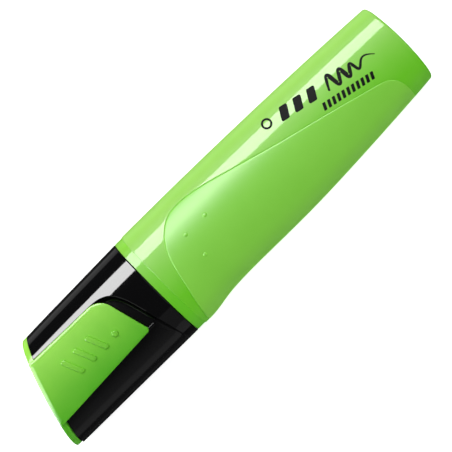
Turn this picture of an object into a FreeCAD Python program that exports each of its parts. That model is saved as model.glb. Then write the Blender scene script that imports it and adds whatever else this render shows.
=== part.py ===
"""Flat capped highlighter: hollow oval barrel with an overmoulded grip, felt nib and ink reservoir,
and a pull-off cap whose end plate carries a flexing pocket clip.

Millimetres.  +X runs along the pen towards the nib and the cap, +Y towards the grip side, +Z out of
the face that carries the clip.  The origin is the middle of the footprint, on the surface that the
pen lies on.  Distances "behind the seam" run from the joint of cap and barrel towards the rear.
"""
import FreeCAD, Part
import math
import os
import Sketcher

DIMENSIONS = [
    # the pen as a whole
    ("seam_x", 21.1),
    ("axis_height", 8.15),
    ("barrel_length", 82.2),
    ("cap_length", 40.9),
    # oval of the barrel, at the seam and at the rear end
    ("front_half_width", 14.28),
    ("rear_half_width", 11.43),
    ("front_shift", 0.06),
    ("rear_shift", -0.43),
    ("front_half_height", 8.5),
    ("rear_half_height", 6.8),
    ("roundness", 0.82),
    ("rear_crown_radius", 135.0),
    ("rear_edge_radius", 1.1),
    ("wall", 1.25),
    ("cradle_length", 62.0),
    ("cradle_thickness", 1.0),
    # grip pad, sunk into the barrel and standing a little proud of it
    ("grip_rise", 0.12),
    ("grip_thickness", 1.0),
    ("grip_groove", 0.12),
    ("thumb_scoop", 1.17),
    ("dot_radius", 0.5),
    ("dot_rise", 0.32),
    # front section: collar, skirt inside the barrel, neck inside the cap, nose
    ("seam_gap", 0.14),
    ("collar_length", 2.4),
    ("collar_step", 0.16),
    ("skirt_length", 9.5),
    ("skirt_clearance", 0.15),
    ("nose_drop", 0.5),
    ("neck_half_width", 12.4),
    ("neck_half_height", 5.1),
    ("neck_length", 8.5),
    ("neck_wall", 1.1),
    ("neck_side_wall", 2.4),
    ("nose_length", 10.0),
    ("nose_root_half_width", 9.4),
    ("nose_root_half_height", 4.2),
    ("nose_middle_half_width", 7.2),
    ("nose_middle_half_height", 3.7),
    ("nozzle_length", 2.0),
    ("nozzle_half_width", 4.5),
    ("nozzle_half_height", 2.9),
    # felt nib and ink reservoir
    ("nib_width", 6.0),
    ("nib_thickness", 3.4),
    ("nib_reach", 26.8),
    ("nib_tail", 16.5),
    ("nib_slant", 4.0),
    ("nib_edge_radius", 0.45),
    ("nib_fit", 0.06),
    ("reservoir_half_width", 7.2),
    ("reservoir_half_height", 4.0),
    ("reservoir_front", 12.2),
    ("reservoir_length", 60.0),
    ("wrap_thickness", 0.2),
    ("wrap_margin", 0.4),
    # cap shell
    ("cap_half_width", 14.16),
    ("cap_tip_half_width", 13.62),
    ("cap_shift", 0.09),
    ("cap_tip_shift", 0.25),
    ("cap_tip_half_height", 8.25),
    ("cap_clearance", 0.3),
    ("end_radius", 87.0),
    ("end_centre_y", 25.2),
    ("recess_step", 0.35),
    ("recess_floor", 6.1),
    ("recess_edge_y", -8.4),
    ("guide_rib_length", 9.0),
    ("guide_rib_width", 0.75),
    ("guide_rib_height", 0.4),
    ("liner_wall", 0.9),
    ("liner_reach", 28.2),
    ("liner_gap", 0.5),
    ("liner_fit", 0.05),
    # end plate and pocket clip
    ("plate_thickness", 1.3),
    ("plug_depth", 1.2),
    ("plug_wall", 1.05),
    ("tongue_top", 8.45),
    ("tongue_thickness", 1.35),
    ("tongue_crown_radius", 45.0),
    ("tongue_low_y", -7.75),
    ("tongue_high_y", 6.1),
    ("tongue_root_high_y", 7.3),
    ("tongue_tip", 7.5),
    ("hinge_inset", 3.2),
    ("hinge_height", 7.4),
    ("knuckle_radius", 1.5),
    ("knuckle_clearance", 0.1),
]

V = FreeCAD.Vector
ACROSS = FreeCAD.Rotation(V(1, 1, 1), 120)  # turns a sketch's X, Y and normal into +Y, +Z and +X
FAR = 200.0  # longer than the pen, for cutting tools
THROUGH = "20"  # from the pen's axis to well outside its faces
PAST_SIDE = "22"  # from the pen's axis to well outside its +Y side
PAST_END = "45"  # from the seam to well beyond the cap's end

doc = FreeCAD.newDocument("highlighter")
dims = doc.addObject("Spreadsheet::Sheet", "dims")
for row, (alias, value) in enumerate(DIMENSIONS, start=1):
    dims.set(f"A{row}", alias)
    dims.set(f"B{row}", str(value))
    dims.setAlias(f"B{row}", alias)
doc.recompute()


def number(expression):
    """Value of an expression over the sheet's cells."""
    return float(dims.evalExpression(str(expression)))


def bind(thing, **expressions):
    """Bind properties to expressions; a double underscore in a name stands for a dot."""
    for name, expression in expressions.items():
        thing.setExpression(name.replace("__", "."), str(expression))


# ---------------------------------------------------------------- profiles


def draw_oval(sketch, half_width, half_height, side_radius):
    """Four tangent arcs: two tight ones at the sides, two flat ones on the faces."""
    width, height, side = number(half_width), number(half_height), number(side_radius)
    face = ((width - side) ** 2 + height**2 - side**2) / (2 * (height - side))
    turn = math.atan2(face - height, width - side)
    arcs = [
        (width - side, 0, side, -turn, turn),
        (0, height - face, face, turn, math.pi - turn),
        (side - width, 0, side, math.pi - turn, math.pi + turn),
        (0, face - height, face, math.pi + turn, 2 * math.pi - turn),
    ]
    for x, y, radius, start, end in arcs:
        circle = Part.Circle(V(x, y, 0), V(0, 0, 1), radius)
        sketch.addGeometry(Part.ArcOfCircle(circle, start, end), False)
    rule = Sketcher.Constraint
    sketch.addConstraint([rule("Tangent", arc, 2, (arc + 1) % 4, 1) for arc in range(4)])
    sketch.addConstraint(
        [
            rule("PointOnObject", 0, 3, -1),
            rule("PointOnObject", 1, 3, -2),
            rule("PointOnObject", 2, 3, -1),
            rule("Equal", 0, 2),
            rule("Equal", 1, 3),
        ]
    )
    reach = f"(({half_width}) - ({side_radius}))"
    face_rule = (
        f"({reach}^2 + ({half_height})^2 - ({side_radius})^2)"
        f" / (2 * (({half_height}) - ({side_radius})))"
    )
    sizes = [
        ("side_radius", rule("Radius", 0, side), side_radius),
        ("reach", rule("DistanceX", -1, 1, 0, 3, width - side), reach),
        ("face_radius", rule("Radius", 1, face), face_rule),
    ]
    for name, constraint, expression in sizes:
        sketch.renameConstraint(sketch.addConstraint(constraint), name)
        sketch.setExpression(f"Constraints.{name}", expression)
    return sketch


def draw_rectangle(sketch, width, height):
    """Rectangle centred on the sketch's origin."""
    half_x, half_y = number(width) / 2, number(height) / 2
    signs = [(-1, -1), (1, -1), (1, 1), (-1, 1)]
    corners = [V(half_x * across, half_y * up, 0) for across, up in signs]
    for index in range(4):
        sketch.addGeometry(Part.LineSegment(corners[index], corners[(index + 1) % 4]), False)
    rule = Sketcher.Constraint
    sketch.addConstraint([rule("Coincident", side, 2, (side + 1) % 4, 1) for side in range(4)])
    sketch.addConstraint([rule("Horizontal", 0), rule("Horizontal", 2)])
    sketch.addConstraint([rule("Vertical", 1), rule("Vertical", 3)])
    sketch.addConstraint(rule("Symmetric", 0, 1, 2, 1, -1, 1))
    for name, constraint, expression in (
        ("width", rule("DistanceX", 0, 1, 0, 2, 2 * half_x), width),
        ("height", rule("DistanceY", 1, 1, 1, 2, 2 * half_y), height),
    ):
        sketch.renameConstraint(sketch.addConstraint(constraint), name)
        sketch.setExpression(f"Constraints.{name}", expression)
    return sketch


def section(name, x, half_width, half_height, side_radius, y="0", z="0"):
    """Free oval sketch across the pen; y and z shift its centre from the pen's axis."""
    sketch = doc.addObject("Sketcher::SketchObject", name)
    draw_oval(sketch, half_width, half_height, side_radius)
    sketch.Placement = FreeCAD.Placement(V(0, 0, 0), ACROSS)
    sketch.setExpression("Placement.Base.x", x)
    sketch.setExpression("Placement.Base.y", y)
    sketch.setExpression("Placement.Base.z", f"dims.axis_height + ({z})")
    return sketch


def body_sketch(body, name, x="0", z="0"):
    """Sketch across the pen inside a body, on the pen's axis at x."""
    sketch = body.newObject("Sketcher::SketchObject", name)
    plane = next(part for part in body.Origin.OriginFeatures if part.Role == "YZ_Plane")
    sketch.AttachmentSupport = [(plane, "")]
    sketch.MapMode = "FlatFace"
    sketch.setExpression("AttachmentOffset.Base.z", x)
    sketch.setExpression("AttachmentOffset.Base.y", f"dims.axis_height + ({z})")
    return sketch


def body_oval(body, name, x, half_width, half_height, side_radius, z="0"):
    return draw_oval(body_sketch(body, name, x, z), half_width, half_height, side_radius)


def body_rectangle(body, name, x, width, height, z="0"):
    return draw_rectangle(body_sketch(body, name, x, z), width, height)


def pad(body, name, sketch, length, backwards=False):
    feature = body.newObject("PartDesign::Pad", name)
    feature.Profile = sketch
    feature.Reversed = backwards
    feature.setExpression("Length", length)
    return feature


def pocket(body, name, sketch, length, forwards=True):
    """Cut along +X from the sketch, or along -X."""
    feature = body.newObject("PartDesign::Pocket", name)
    feature.Profile = sketch
    feature.Reversed = forwards
    feature.setExpression("Length", length)
    return feature


def body_loft(body, name, sketches, subtract=False):
    kind = "PartDesign::SubtractiveLoft" if subtract else "PartDesign::AdditiveLoft"
    feature = body.newObject(kind, name)
    feature.Profile = sketches[0]
    feature.Sections = sketches[1:]
    feature.Ruled = False
    return feature


# ---------------------------------------------------------------- solids


def loft(name, sections):
    solid = doc.addObject("Part::Loft", name)
    solid.Sections = sections
    solid.Solid = True
    solid.Ruled = False
    return solid


def cut(name, base, tool):
    result = doc.addObject("Part::Cut", name)
    result.Base = base
    result.Tool = tool
    return result


def common(name, base, tool):
    result = doc.addObject("Part::Common", name)
    result.Base = base
    result.Tool = tool
    return result


def fuse(name, *pieces):
    result = doc.addObject("Part::MultiFuse", name)
    result.Shapes = list(pieces)
    result.Refine = False
    return result


def box(name, x, y, z, length, width, height):
    """Box from its low corner; z is measured from the pen's axis."""
    solid = doc.addObject("Part::Box", name)
    bind(solid, Length=length, Width=width, Height=height)
    bind(solid, Placement__Base__x=x, Placement__Base__y=y)
    bind(solid, Placement__Base__z=f"dims.axis_height + ({z})")
    return solid


def upright_cylinder(name, x, y, radius):
    """Tall cylinder along Z, right through the pen."""
    solid = doc.addObject("Part::Cylinder", name)
    bind(solid, Radius=radius, Placement__Base__x=x, Placement__Base__y=y)
    solid.Height = FAR
    solid.setExpression("Placement.Base.z", f"-{FAR / 2}")
    return solid


def lengthwise_cylinder(name, z, radius):
    """Cylinder along X through the whole pen, its axis at height z from the pen's axis."""
    solid = doc.addObject("Part::Cylinder", name)
    bind(solid, Radius=radius)
    solid.Height = FAR
    solid.Placement = FreeCAD.Placement(V(-FAR / 2, 0, 0), FreeCAD.Rotation(V(0, 1, 0), 90))
    solid.setExpression("Placement.Base.z", f"dims.axis_height + ({z})")
    return solid


def outline(name, curves, z="0"):
    """Closed plan outline: each curve is a list of (x, y) from the seam and the pen's axis.

    Two points make a straight edge, more make one smooth spline through them.
    """
    edges = []
    for points in curves:
        spots = [V(number(f"seam_x + ({x})"), number(y), 0) for x, y in points]
        if len(spots) == 2:
            edges.append(Part.LineSegment(*spots).toShape())
        else:
            spline = Part.BSplineCurve()
            spline.interpolate(spots)
            edges.append(spline.toShape())
    feature = doc.addObject("Part::Feature", name)
    feature.Shape = Part.Wire(edges)
    feature.setExpression("Placement.Base.z", f"dims.axis_height + ({z})")
    return feature


def prism(name, wire, up, down="0"):
    """Plan outline extruded along Z, up and down from its own height."""
    solid = doc.addObject("Part::Extrusion", name)
    solid.Base = wire
    solid.DirMode = "Custom"
    solid.Dir = V(0, 0, 1)
    solid.Solid = True
    bind(solid, LengthFwd=up, LengthRev=down)
    return solid


def finish(name, source):
    """Name the finished piece; its label is its file name."""
    source.Label = name
    PIECES.append(source)
    return source


PIECES = []

# Everything below the resting surface is cut away, which leaves a long flat land on the back.
below_rest = box(
    "below_rest", -FAR / 2, -FAR / 4, f"-dims.axis_height - {FAR / 4}", FAR, FAR / 2, FAR / 4
)


# ---------------------------------------------------------------- barrel


def tapered(front, rear, fraction):
    """Size at a fraction of the barrel's length: an arc-like taper that starts square to the seam."""
    return f"({front} + ({rear} - {front}) * ({fraction})^2)"


def barrel_section(name, fraction, side_inset="0", side_shift="0", face_inset="0"):
    """Oval of the barrel at a fraction of its length; insets shrink it, the shift moves its centre."""
    width = tapered("dims.front_half_width", "dims.rear_half_width", fraction)
    full_height = tapered("dims.front_half_height", "dims.rear_half_height", fraction)
    height = f"({full_height} - ({face_inset}))"
    return section(
        name,
        f"dims.seam_x - dims.barrel_length * ({fraction})",
        f"{width} - ({side_inset})",
        height,
        f"dims.roundness * {height}",
        y=f"{tapered('dims.front_shift', 'dims.rear_shift', fraction)} + ({side_shift})",
    )


COLLAR = "dims.collar_length / dims.barrel_length"
barrel_stations = enumerate((COLLAR, "0.33", "0.66", "1.02"))
barrel_form = loft(
    "barrel_form", [barrel_section(f"barrel_section_{i}", at) for i, at in barrel_stations]
)
crown_x = "dims.seam_x - dims.barrel_length + dims.rear_crown_radius"
rear_crown = upright_cylinder("rear_crown", crown_x, "0", "dims.rear_crown_radius")
barrel_blank = common("barrel_blank", barrel_form, rear_crown)
doc.recompute()
barrel_round = doc.addObject("Part::Fillet", "barrel_round")
barrel_round.Base = barrel_blank
rear_limit = number("seam_x - barrel_length + rear_edge_radius")
rear_edges = [
    index
    for index, edge in enumerate(barrel_blank.Shape.Edges, start=1)
    if edge.BoundBox.XMax < rear_limit
]
rear_radius = number("rear_edge_radius")
barrel_round.Edges = [(index, rear_radius, rear_radius) for index in rear_edges]

# Rim of the grip's leaf-shaped plan, from the collar round the wide face to the rear of the grip side.
LEAF_RIM = [
    ("-3.5", "14.6"),
    ("-4.5", "9.8"),
    ("-5.9", "3.9"),
    ("-7.7", "-2.8"),
    ("-10.6", "-7.5"),
    ("-14.0", "-9.8"),
    ("-18.2", "-10.35"),
    ("-23.5", "-9.6"),
    ("-31.6", "-7.4"),
    ("-46.5", "-3.1"),
    ("-64.0", "1.05"),
    ("-70.6", "2.9"),
    ("-74.0", "5.5"),
    ("-75.8", "8.9"),
    ("-76.3", "13"),
]


def leaf_prism(name, inset):
    """Plan of the grip drawn in by an inset, closed well outside the grip side, right through the pen."""
    rim = Part.BSplineCurve()
    spots = [V(number(f"seam_x + ({x})"), number(y), 0) for x, y in LEAF_RIM]
    rim.interpolate(spots)
    tangents = [rim.tangent(rim.parameter(spot))[0] for spot in spots]
    drawn = [spot + V(along.y, -along.x, 0) * inset for spot, along in zip(spots, tangents)]
    rim.interpolate(drawn)
    beyond = V(0, number("front_half_width"), 0)
    corners = [drawn[-1], drawn[-1] + beyond, drawn[0] + beyond, drawn[0]]
    sides = [Part.LineSegment(a, b).toShape() for a, b in zip(corners, corners[1:])]
    wire = doc.addObject("Part::Feature", f"{name}_outline")
    wire.Shape = Part.Wire([rim.toShape(), *sides])
    wire.setExpression("Placement.Base.z", "dims.axis_height")
    return prism(name, wire, THROUGH, THROUGH)


pocket_prism = leaf_prism("pocket_prism", 0)
grip_prism = leaf_prism("grip_prism", number("grip_groove"))

# Depth of the thumb scoop along the grip side, as parts of its deepest value.
SCOOP = [
    ("0.04", 0.05),
    ("0.08", 0.2),
    ("0.13", 0.72),
    ("0.19", 1.0),
    ("0.27", 0.95),
    ("0.37", 0.68),
    ("0.48", 0.4),
    ("0.65", 0.24),
    ("0.96", 0.12),
]


def grip_loft(name, inset):
    """The grip's outer form, set in by an amount; the scoop draws in only its +Y side."""
    sections = []
    for index, (fraction, depth) in enumerate(SCOOP):
        drawn_in = f"(dims.thumb_scoop * {depth} / 2)"
        sections.append(
            barrel_section(
                f"{name}_section_{index}",
                fraction,
                side_inset=f"{drawn_in} + ({inset})",
                side_shift=f"-{drawn_in}",
                face_inset=inset,
            )
        )
    return loft(name, sections)


grip_form = grip_loft("grip_form", "-dims.grip_rise")
grip_bed = grip_loft("grip_bed", "dims.grip_thickness")
grip_blank = cut("grip_blank", common("grip_top", grip_form, grip_prism), grip_bed)
pocket_tool = cut("pocket_tool", pocket_prism, grip_bed)

# Hollow of the barrel, open at the front; the grip side keeps a wall under the scoop.
GRIP_SIDE = "(dims.grip_thickness + dims.thumb_scoop)"


def hollow_section(name, fraction, clearance="0"):
    return barrel_section(
        name,
        fraction,
        side_inset=f"dims.wall + {GRIP_SIDE} / 2 + ({clearance})",
        side_shift=f"-{GRIP_SIDE} / 2",
        face_inset=f"dims.wall + dims.grip_thickness + ({clearance})",
    )


REAR_WALL = "1 - 1.6 * dims.wall / dims.barrel_length"
hollow_stations = enumerate(("0.01", "0.33", "0.66", REAR_WALL))
barrel_hollow = loft(
    "barrel_hollow", [hollow_section(f"hollow_{i}", at) for i, at in hollow_stations]
)


CRADLE_RIBS = [
    ("rib_top_low", "-4.5", True),
    ("rib_top_high", "3.5", True),
    ("rib_bottom_low", "-4.5", False),
    ("rib_bottom_high", "3.5", False),
]


def cradle_rib(name, y, above):
    """Long rib that holds the wrapped reservoir off the barrel's wall, 0.05 mm from the wrap."""
    tall = "dims.front_half_height"
    reach = "dims.reservoir_half_height + dims.wrap_thickness + 0.05"
    low = f"{reach} - dims.nose_drop" if above else f"-({reach}) - dims.nose_drop - {tall}"
    start = "dims.seam_x - dims.barrel_length + dims.wall / 2"
    thickness = "dims.cradle_thickness"
    return box(name, start, f"{y} - {thickness} / 2", low, "dims.cradle_length", thickness, tall)


ribs = fuse("ribs", *[cradle_rib(*rib) for rib in CRADLE_RIBS])
hollow_tool = cut("hollow_tool", barrel_hollow, ribs)
barrel_pocketed = cut("barrel_pocketed", barrel_round, pocket_tool)
barrel_open = cut("barrel_open", barrel_pocketed, hollow_tool)
finish("barrel", cut("barrel_piece", barrel_open, below_rest))

# Three small domes on the grip's face, where the finger rests.
DOTS = [("-14.1", "-3.8"), ("-20.5", "-3.9"), ("-14.1", "2.8")]
doc.recompute()


def dome(name, x, y):
    """Ball sunk into the grip's face so that only a low dome stands out."""
    foot = V(number(f"seam_x + ({x})"), number(y), number("axis_height"))
    ray = Part.LineSegment(foot, foot + V(0, 0, 20)).toShape()
    surface = ray.common(grip_blank.Shape).BoundBox.ZMax
    ball = doc.addObject("Part::Sphere", name)
    ball.setExpression("Radius", "dims.dot_radius")
    ball.Placement.Base = V(foot.x, foot.y, surface - number("dot_radius - dot_rise"))
    return ball


domes = [dome(f"dot_{i}", x, y) for i, (x, y) in enumerate(DOTS)]
grip_dotted = fuse("grip_dotted", grip_blank, *domes)
finish("grip", cut("grip_piece", grip_dotted, below_rest))

# ---------------------------------------------------------------- front section

front_body = doc.addObject("PartDesign::Body", "front_body")
DROP = "-dims.nose_drop"
collar_height = "(dims.front_half_height - dims.collar_step)"
collar = draw_oval(
    body_sketch(front_body, "collar_sketch", "dims.seam_x - dims.collar_length"),
    "dims.front_half_width - dims.collar_step",
    collar_height,
    f"dims.roundness * {collar_height}",
)
collar.setExpression("AttachmentOffset.Base.x", "dims.front_shift")
pad(front_body, "collar_ring", collar, "dims.collar_length - dims.seam_gap")
neck_round = "dims.roundness * dims.neck_half_height"
neck_sizes = ("dims.neck_half_width", "dims.neck_half_height", neck_round)
neck = body_oval(front_body, "neck_sketch", "dims.seam_x - dims.collar_length", *neck_sizes, z=DROP)
pad(front_body, "neck", neck, "dims.collar_length + dims.neck_length")
hollow_height = "(dims.front_half_height - dims.wall - dims.grip_thickness)"
skirt = draw_oval(
    body_sketch(front_body, "skirt_sketch", "dims.seam_x - dims.collar_length"),
    f"dims.front_half_width - dims.wall - {GRIP_SIDE} / 2 - dims.skirt_clearance",
    f"{hollow_height} - dims.skirt_clearance",
    f"dims.roundness * {hollow_height} - dims.skirt_clearance",
)
skirt.setExpression("AttachmentOffset.Base.x", f"dims.front_shift - {GRIP_SIDE} / 2")
pad(front_body, "skirt", skirt, "dims.skirt_length", backwards=True)
nose_start = "dims.seam_x + dims.neck_length"
nose_end = f"{nose_start} + dims.nose_length"
NOSE = [
    ("nose_root", nose_start, "dims.nose_root_half_width", "dims.nose_root_half_height"),
    (
        "nose_middle",
        f"{nose_start} + 0.45 * dims.nose_length",
        "dims.nose_middle_half_width",
        "dims.nose_middle_half_height",
    ),
    ("nose_tip", nose_end, "dims.nozzle_half_width", "dims.nozzle_half_height"),
]


def nose_oval(name, x, half_width, half_height):
    return body_oval(
        front_body, name, x, half_width, half_height, f"dims.roundness * {half_height}", z=DROP
    )


body_loft(front_body, "nose", [nose_oval(*station) for station in NOSE])
nozzle = nose_oval("nozzle_sketch", nose_end, "dims.nozzle_half_width", "dims.nozzle_half_height")
pad(front_body, "nozzle", nozzle, "dims.nozzle_length")
doc.recompute()
inside = body_oval(
    front_body,
    "inside_sketch",
    "dims.seam_x - dims.collar_length - dims.skirt_length",
    "dims.neck_half_width - dims.neck_side_wall",
    "dims.neck_half_height - dims.neck_wall",
    f"{neck_round} - dims.neck_wall",
    z=DROP,
)
inside_length = "dims.skirt_length + dims.collar_length + dims.neck_length - dims.wall"
pocket(front_body, "inside", inside, inside_length)
slot_sizes = ("dims.nib_width + dims.nib_fit", "dims.nib_thickness + dims.nib_fit")
nib_slot = body_rectangle(front_body, "nib_slot_sketch", "dims.seam_x", *slot_sizes, z=DROP)
pocket(front_body, "nib_slot", nib_slot, PAST_END)
finish("front_section", cut("front_piece", front_body, below_rest))

# ---------------------------------------------------------------- nib, reservoir and its wrap

nib_body = doc.addObject("PartDesign::Body", "nib_body")
nib_start = "dims.seam_x - dims.nib_tail"
nib_sizes = ("dims.nib_width", "dims.nib_thickness")
nib_sketch = body_rectangle(nib_body, "nib_sketch", nib_start, *nib_sizes, z=DROP)
pad(nib_body, "nib_rod", nib_sketch, "dims.nib_tail + dims.nib_reach")
slant = nib_body.newObject("Sketcher::SketchObject", "slant_sketch")
plan = next(part for part in nib_body.Origin.OriginFeatures if part.Role == "XY_Plane")
slant.AttachmentSupport = [(plan, "")]
slant.MapMode = "FlatFace"
tip_x = number("seam_x + nib_reach")
half_nib = number("nib_width / 2")
slant_run = number("nib_slant")
corners = [V(tip_x, half_nib, 0), V(tip_x, -half_nib, 0), V(tip_x - slant_run, -half_nib, 0)]
for index in range(3):
    slant.addGeometry(Part.LineSegment(corners[index], corners[(index + 1) % 3]), False)
rule = Sketcher.Constraint
slant.addConstraint([rule("Coincident", side, 2, (side + 1) % 3, 1) for side in range(3)])
slant.addConstraint([rule("Vertical", 0), rule("Horizontal", 1)])
for name, constraint, expression in (
    ("tip_x", rule("DistanceX", -1, 1, 0, 1, tip_x), "dims.seam_x + dims.nib_reach"),
    ("tip_y", rule("DistanceY", -1, 1, 0, 1, half_nib), "dims.nib_width / 2"),
    ("across", rule("DistanceY", 1, 1, 0, 1, 2 * half_nib), "dims.nib_width"),
    ("back", rule("DistanceX", 2, 1, 1, 1, slant_run), "dims.nib_slant"),
):
    slant.renameConstraint(slant.addConstraint(constraint), name)
    slant.setExpression(f"Constraints.{name}", expression)
slant_cut = nib_body.newObject("PartDesign::Pocket", "slant_cut")
slant_cut.Profile = slant
slant_cut.Type = 1
slant_cut.Midplane = True
doc.recompute()
slant_round = nib_body.newObject("PartDesign::Fillet", "slant_round")
nib_tip_edges = [
    f"Edge{index}"
    for index, edge in enumerate(slant_cut.Shape.Edges, start=1)
    if edge.BoundBox.XMax > number("seam_x + nib_reach - nib_slant") - 0.01
]
slant_round.Base = (slant_cut, nib_tip_edges)
slant_round.setExpression("Radius", "dims.nib_edge_radius")
nib_body.Tip = slant_round
finish("nib", nib_body)

reservoir_body = doc.addObject("PartDesign::Body", "reservoir_body")
core_round = "dims.roundness * dims.reservoir_half_height"
core_sizes = ("dims.reservoir_half_width", "dims.reservoir_half_height", core_round)
core_start = "dims.seam_x - dims.reservoir_front"
core = body_oval(reservoir_body, "core_sketch", core_start, *core_sizes, z=DROP)
pad(reservoir_body, "core", core, "dims.reservoir_length", backwards=True)
doc.recompute()
tail_x = "dims.seam_x - dims.nib_tail - dims.nib_fit"
tail_slot = body_rectangle(reservoir_body, "tail_slot_sketch", tail_x, *slot_sizes, z=DROP)
pocket(reservoir_body, "tail_slot", tail_slot, THROUGH)
finish("ink_reservoir", reservoir_body)

wrap_body = doc.addObject("PartDesign::Body", "wrap_body")
wrap_start = "dims.seam_x - dims.reservoir_front - dims.wrap_margin"
wrap = body_oval(
    wrap_body,
    "wrap_sketch",
    wrap_start,
    "dims.reservoir_half_width + dims.wrap_thickness",
    "dims.reservoir_half_height + dims.wrap_thickness",
    f"{core_round} + dims.wrap_thickness",
    z=DROP,
)
pad(wrap_body, "film", wrap, "dims.reservoir_length - 2 * dims.wrap_margin", backwards=True)
doc.recompute()
bore = body_oval(wrap_body, "bore_sketch", f"{wrap_start} + dims.wall", *core_sizes, z=DROP)
pocket(wrap_body, "bore", bore, "dims.reservoir_length + 2 * dims.wall", forwards=False)
finish("reservoir_wrap", wrap_body)

# ---------------------------------------------------------------- cap


def cap_size(at_seam, at_tip, fraction):
    return f"({at_seam} + ({at_tip} - {at_seam}) * ({fraction}))"


def cap_section(name, fraction, half_height=None, step="0", start="0"):
    """Oval of the cap at a fraction of its length; the step draws in its +Y side."""
    height = half_height or cap_size("dims.front_half_height", "dims.cap_tip_half_height", fraction)
    return section(
        name,
        f"dims.seam_x + ({start}) + dims.cap_length * ({fraction})",
        f"{cap_size('dims.cap_half_width', 'dims.cap_tip_half_width', fraction)} - ({step}) / 2",
        height,
        f"dims.roundness * {height}",
        y=f"{cap_size('dims.cap_shift', 'dims.cap_tip_shift', fraction)} - ({step}) / 2",
    )


cap_mouth = cap_section("cap_mouth", "0", start="dims.seam_gap / 2")
cap_form = loft("cap_form", [cap_mouth, cap_section("cap_top", "1.05")])
END_X = "dims.seam_x + dims.cap_length - dims.end_radius"
end_outer = upright_cylinder("end_outer", END_X, "dims.end_centre_y", "dims.end_radius")
plate_inside = "dims.end_radius - dims.plate_thickness"
end_inner = upright_cylinder("end_inner", END_X, "dims.end_centre_y", plate_inside)
cap_blank = common("cap_blank", cap_form, end_inner)

# Plan of the recess under the clip: a bay that opens to the +Y side and to the end.
RECESS = [
    [(PAST_END, "dims.recess_edge_y"), (PAST_END, PAST_SIDE)],
    [(PAST_END, PAST_SIDE), ("2.3", PAST_SIDE)],
    [("2.3", PAST_SIDE), ("2.4", "15.2")],
    [
        ("2.4", "15.2"),
        ("3.2", "9.9"),
        ("4.6", "3.9"),
        ("6.3", "-2.4"),
        ("8.5", "-6.1"),
        ("10.9", "-7.8"),
        ("14.0", "dims.recess_edge_y"),
    ],
    [("14.0", "dims.recess_edge_y"), (PAST_END, "dims.recess_edge_y")],
]
recess_prism = prism("recess_prism", outline("recess", RECESS), THROUGH)
scoop_sizes = {"half_height": "(dims.recess_floor)", "step": "dims.recess_step"}
scoop_stations = (("scoop_mouth", "-0.02"), ("scoop_top", "1.1"))
scoop_form = loft("scoop_form", [cap_section(*at, **scoop_sizes) for at in scoop_stations])
recess_tool = cut("recess_tool", recess_prism, scoop_form)
bore_width = "(dims.neck_half_width + dims.cap_clearance)"
bore_height = "(dims.neck_half_height + dims.cap_clearance)"
bore_round = f"dims.roundness * {bore_height}"


def bore_oval(name, x, inset="0"):
    """Oval of the cap's bore, drawn in by an inset."""
    return section(
        name,
        f"dims.seam_x + ({x})",
        f"{bore_width} - {inset}",
        f"{bore_height} - {inset}",
        f"{bore_round} - {inset}",
        z=DROP,
    )


cap_hollow = loft("cap_hollow", [bore_oval("bore_mouth", "-1"), bore_oval("bore_end", PAST_END)])
cap_recessed = cut("cap_recessed", cap_blank, recess_tool)
# Low rib in the recess, under the clip's +Y edge, that shows beyond the clip's tip.
guide_rib = box(
    "guide_rib",
    "dims.seam_x + dims.tongue_tip - 1.6",
    "dims.tongue_high_y - dims.guide_rib_width",
    "dims.recess_floor - dims.wall",
    "dims.guide_rib_length",
    "dims.guide_rib_width",
    "dims.wall + dims.guide_rib_height",
)
cap_ribbed = fuse("cap_ribbed", cap_recessed, guide_rib)
cap_open = cut("cap_open", cap_ribbed, cap_hollow)
finish("cap_shell", cut("cap_piece", cap_open, below_rest))

# Sealing liner: a cup inside the cap that closes over the nose.
liner_body = doc.addObject("PartDesign::Body", "liner_body")
liner_start = "dims.seam_x + dims.neck_length + dims.liner_gap"
liner_length = "dims.liner_reach - dims.neck_length - dims.liner_gap"


def liner_oval(name, inset):
    """Oval of the liner, a given inset smaller than the cap's bore."""
    sizes = (f"{bore_width} - {inset}", f"{bore_height} - {inset}", f"{bore_round} - {inset}")
    return body_oval(liner_body, name, liner_start, *sizes, z=DROP)


pad(liner_body, "liner", liner_oval("liner_sketch", "dims.liner_fit"), liner_length)
doc.recompute()
mouth = liner_oval("mouth_sketch", "dims.liner_wall")
pocket(liner_body, "mouth", mouth, f"{liner_length} - dims.liner_wall")
finish("inner_cap", liner_body)

# ---------------------------------------------------------------- end plate and clip

plate_stations = (("plate_low", "0.5"), ("plate_high", "1.06"))
plate_form = loft(
    "plate_form", [cap_section(*at, step="dims.recess_step") for at in plate_stations]
)
plate = cut("plate", common("plate_blank", plate_form, end_outer), end_inner)

# Plan of the clip: its root is past the end plate, its blunt slanted tip near the seam.
TONGUE_TIP = "dims.tongue_tip"
ROOT_LOW = (PAST_END, "dims.tongue_low_y - 0.3")
ROOT_HIGH = (PAST_END, "dims.tongue_root_high_y + 0.4")
TIP_HIGH = (f"{TONGUE_TIP} + 0.9", "dims.tongue_high_y")
TIP_START = (TONGUE_TIP, "5.2")
TIP_END = (f"{TONGUE_TIP} + 1.5", "-2.4")
SIDE_START = (f"{TONGUE_TIP} + 6.5", "dims.tongue_low_y")
TONGUE = [
    [ROOT_LOW, ROOT_HIGH],
    [ROOT_HIGH, TIP_HIGH],
    [TIP_HIGH, (f"{TONGUE_TIP} + 0.2", "5.9"), TIP_START],
    [TIP_START, TIP_END],
    [TIP_END, (f"{TONGUE_TIP} + 2.7", "-5.4"), (f"{TONGUE_TIP} + 4.2", "-7.0"), SIDE_START],
    [SIDE_START, ROOT_LOW],
]
tongue_prism = prism("tongue_prism", outline("tongue_outline", TONGUE), THROUGH)
tongue_roof = lengthwise_cylinder(
    "tongue_roof", "dims.tongue_top - dims.tongue_crown_radius", "dims.tongue_crown_radius"
)
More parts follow.
